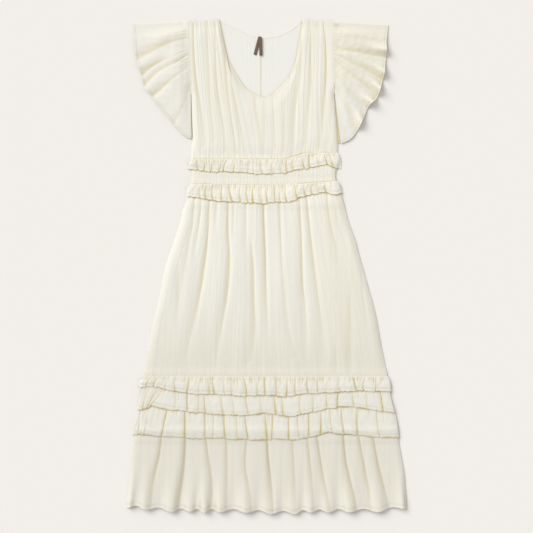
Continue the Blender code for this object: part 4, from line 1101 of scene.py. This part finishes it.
# %% Left and right sleeves
# Each row from the shoulder to the underarm: y at the armhole, then x and y at the hem
LEFT_SLEEVE = [
    (599, -327, 592), (586, -324, 568), (572, -322, 544), (560, -321, 520), (546, -317, 500),
    (531, -309, 476), (523, -305, 460), (514, -301, 441), (501, -290, 427), (485, -276, 411),
    (466, -252, 380), (446, -224, 344), (434, -200, 318), (427, -185, 313),
]
LEFT_SLEEVE_FOLDS = [
    Fold(16, 9, [(-190, 562, 1.5), (-236, 548, 4.2), (-266, 535, 5.4), (-293, 521, 5.6),
        (-322, 506, 4.5)]),
    Fold(11, 6, [(-232, 511, 0.0), (-251, 506, 4.0), (-281, 489, 7.0), (-299, 474, 8.5),
        (-314, 459, 8.5)]),
    Fold(10, 6, [(-190, 521, 1.5), (-212, 501, 3.0), (-241, 491, 3.8), (-266, 477, 4.6),
        (-295, 450, 6.5), (-305, 436, 6.8)]),
    Fold(11, 6, [(-190, 489, 1.5), (-232, 457, 3.0), (-251, 440, 5.0), (-278, 418, 7.5),
        (-290, 408, 8.0)]),
    Fold(10, 6, [(-187, 447, 1.0), (-197, 408, 2.2), (-217, 364, 3.4), (-236, 342, 4.2)]),
]
RIGHT_SLEEVE = [
    (597, 298, 590), (584, 296, 572), (570, 293, 550), (548, 293, 528), (536, 292, 509),
    (528, 290, 489), (519, 286, 462), (511, 279, 438), (500, 270, 408), (484, 251, 396),
    (464, 237, 362), (450, 220, 328), (440, 205, 310), (431, 182, 301),
]
RIGHT_SLEEVE_FOLDS = [
    Fold(7, 12, [(165, 538, 1.5), (183, 530, 4.2), (209, 528, 5.2), (241, 521, 5.2),
        (295, 513, 5.6)]),
    Fold(7, 11, [(170, 518, 0.5), (192, 506, 2.6), (217, 494, 3.4), (254, 477, 4.6),
        (290, 454, 6.5)]),
    Fold(7, 10, [(165, 506, 1.5), (205, 469, 3.0), (241, 445, 4.2), (278, 411, 6.8)]),
    Fold(7, 10, [(165, 472, 1.0), (192, 437, 1.8), (224, 408, 3.2), (251, 386, 6.0)]),
    Fold(7, 10, [(165, 445, 1.0), (180, 413, 2.2), (205, 371, 3.6), (224, 326, 5.6)]),
]
sleeve(
    "sleeve_left", LEFT_SLEEVE, LEFT_SLEEVE_FOLDS,
    side=-1, depth=0.34, crest=0.2, back_lift=2.4, slit=0.5, shaded=0.0, seed=61,
)
sleeve(
    "sleeve_right", RIGHT_SLEEVE, RIGHT_SLEEVE_FOLDS,
    side=1, depth=0.42, crest=2.8, back_lift=0.9, slit=0.8, shaded=0.13, seed=64,
)

# %% [markdown]
# ## The ribbon at the neck
# A short brown ribbon is folded in two and caught in the back neck seam. It is a strip carried along
# a path: up one tail, over the fold, and down the other. It is plain on both sides.

# %% Folded ribbon
RIBBON_WIDTH, RIBBON_LAYER = 7.5, 0.5
RIBBON_PATH = [
    (-28, 518, 2.4), (-25, 530, 3.4), (-21, 545, 3.8), (-17, 560, 3.0), (-16, 563, 3.7),
    (-15, 560, 4.6), (-14.5, 545, 5.4), (-14, 530, 5.0), (-13.5, 516, 3.8),
]

path = rounded(RIBBON_PATH)
lean = np.interp(np.linspace(0, 1, len(path)), [0, 0.45, 0.62, 1], [0.27, 0.20, 0.03, -0.02])
across = np.linspace(-0.5, 0.5, 7) * RIBBON_WIDTH
x = path[:, 0, None] + across * np.cos(lean)[:, None]
y = path[:, 1, None] - across * np.sin(lean)[:, None]
z = path[:, 2, None] + 0.3 * np.cos(np.pi * across / RIBBON_WIDTH)
sheet("neck_ribbon", x[::-1], y[::-1], z[::-1], RIBBON_BROWN, layer=RIBBON_LAYER)

# %% [markdown]
# ## Painted warm shade between the layers
# Cream cloth looks warmer where light has bounced several times: under the free edge of a ruffle and
# at the foot of a fold. Here that shade is painted into the colour. The finished height map tells
# where it falls: a place that lies lower than its surroundings is given part of the painted shade,
# and the cloth just below each ruffle is given a painted shadow.

# %% Paint warm shade into the sunken places
around = blurred(spread(heap, 1), 2)
free_edges = [
    (0.8 if name.startswith("waist") else 0.55, *np.array(grids[name])[:2, -1])
    for name in grids
    if "ruffle" in name and name.endswith("_front")
]
for name, (x, y, z) in grids.items():
    if name.endswith("_back") or name == "neck_ribbon":
        continue
    sunk = sampled(around, x, y) - z
    inside = 1.0 if name.startswith("sleeve") else eased(from_side(x, y) / 12.0)
    shade_strength = 0.4 if name.startswith("sleeve") or "ruffle" in name else 0.9
    warm_shade = eased((sunk - 0.3) / 1.3) * shade_strength * inside
    if "ruffle" in name:
        warm_shade[0] = 0.0
    # Painted shadow that the front's neck edge throws on the back inside the V
    if name.startswith("back_bodice"):
        warm_shade = 0.6 * np.exp(-((nearest(x, y, NECK_EDGE)[0] / 3.5) ** 2))
    # Painted shadow on the cloth just below each ruffle's free edge
    for strength, edge_x, edge_y in free_edges:
        order = np.argsort(edge_x)
        drop = np.interp(x, edge_x[order], edge_y[order]) - y
        edge_shadow = np.exp(-((np.maximum(drop - 0.8, 0.0) / 2.6) ** 2)) * (drop > -1.5)
        warm_shade = np.maximum(warm_shade, edge_shadow * (strength + 0.35 * uneven(x, y, 40, 40, 71)))
    spot = pieces[name].data.attributes["painted_shade"]
    own = np.empty(x.size, dtype=np.float32)
    spot.data.foreach_get("value", own)
    spot.data.foreach_set("value", np.clip(np.maximum(own, warm_shade.ravel()), 0, 1).astype(np.float32))
print("highest place of the cloth:", round(float(heap.max()), 1), "mm")

# %% [markdown]
# ## What each sheet was cut to
# A sheet of cloth keeps its area however it is gathered. The table estimates the cut of what each
# piece shows, width by length before gathering; the share says how much of it the shape fills.

Cut = namedtuple("Cut", "width length share held")
CUTS = {
    "front_bodice": Cut(405, 350, 0.86, "gathered"),
    "back_bodice_left": Cut(185, 345, 1.0, "laid"),
    "back_bodice_right": Cut(190, 345, 1.0, "laid"),
    "waistband_front": Cut(430, 64, 1.0, "gathered"),
    "waistband_back": Cut(360, 61, 1.0, "laid"),
    "skirt_front": Cut(660, 600, 0.85, "gathered"),
    "skirt_back": Cut(640, 600, 0.80, "laid"),
    "flounce_front": Cut(760, 205, 1.0, "gathered"),
    "flounce_back": Cut(690, 195, 1.0, "laid"),
    "waist_ruffle_upper_front": Cut(500, 32, 1.0, "gathered"),
    "waist_ruffle_lower_front": Cut(480, 39, 1.0, "gathered"),
    "tier_ruffle_top_front": Cut(820, 38, 1.0, "gathered"),
    "tier_ruffle_middle_front": Cut(820, 72, 1.0, "gathered"),
    "tier_ruffle_bottom_front": Cut(840, 84, 1.0, "gathered"),
    "waist_ruffle_upper_back": Cut(370, 27, 1.0, "gathered"),
    "waist_ruffle_lower_back": Cut(350, 36, 1.0, "gathered"),
    "tier_ruffle_top_back": Cut(620, 35, 1.0, "gathered"),
    "tier_ruffle_middle_back": Cut(630, 47, 1.0, "gathered"),
    "tier_ruffle_bottom_back": Cut(650, 62, 1.0, "gathered"),
    "sleeve_left": Cut(420, 200, 0.75, "gathered"),
    "sleeve_right": Cut(420, 200, 0.75, "gathered"),
    "neck_ribbon": Cut(10, 92, 0.75, "folded"),
}
for name, cut in CUTS.items():
    faces = np.empty(len(pieces[name].data.polygons))
    pieces[name].data.polygons.foreach_get("area", faces)
print("declared", len(CUTS), "sheets")
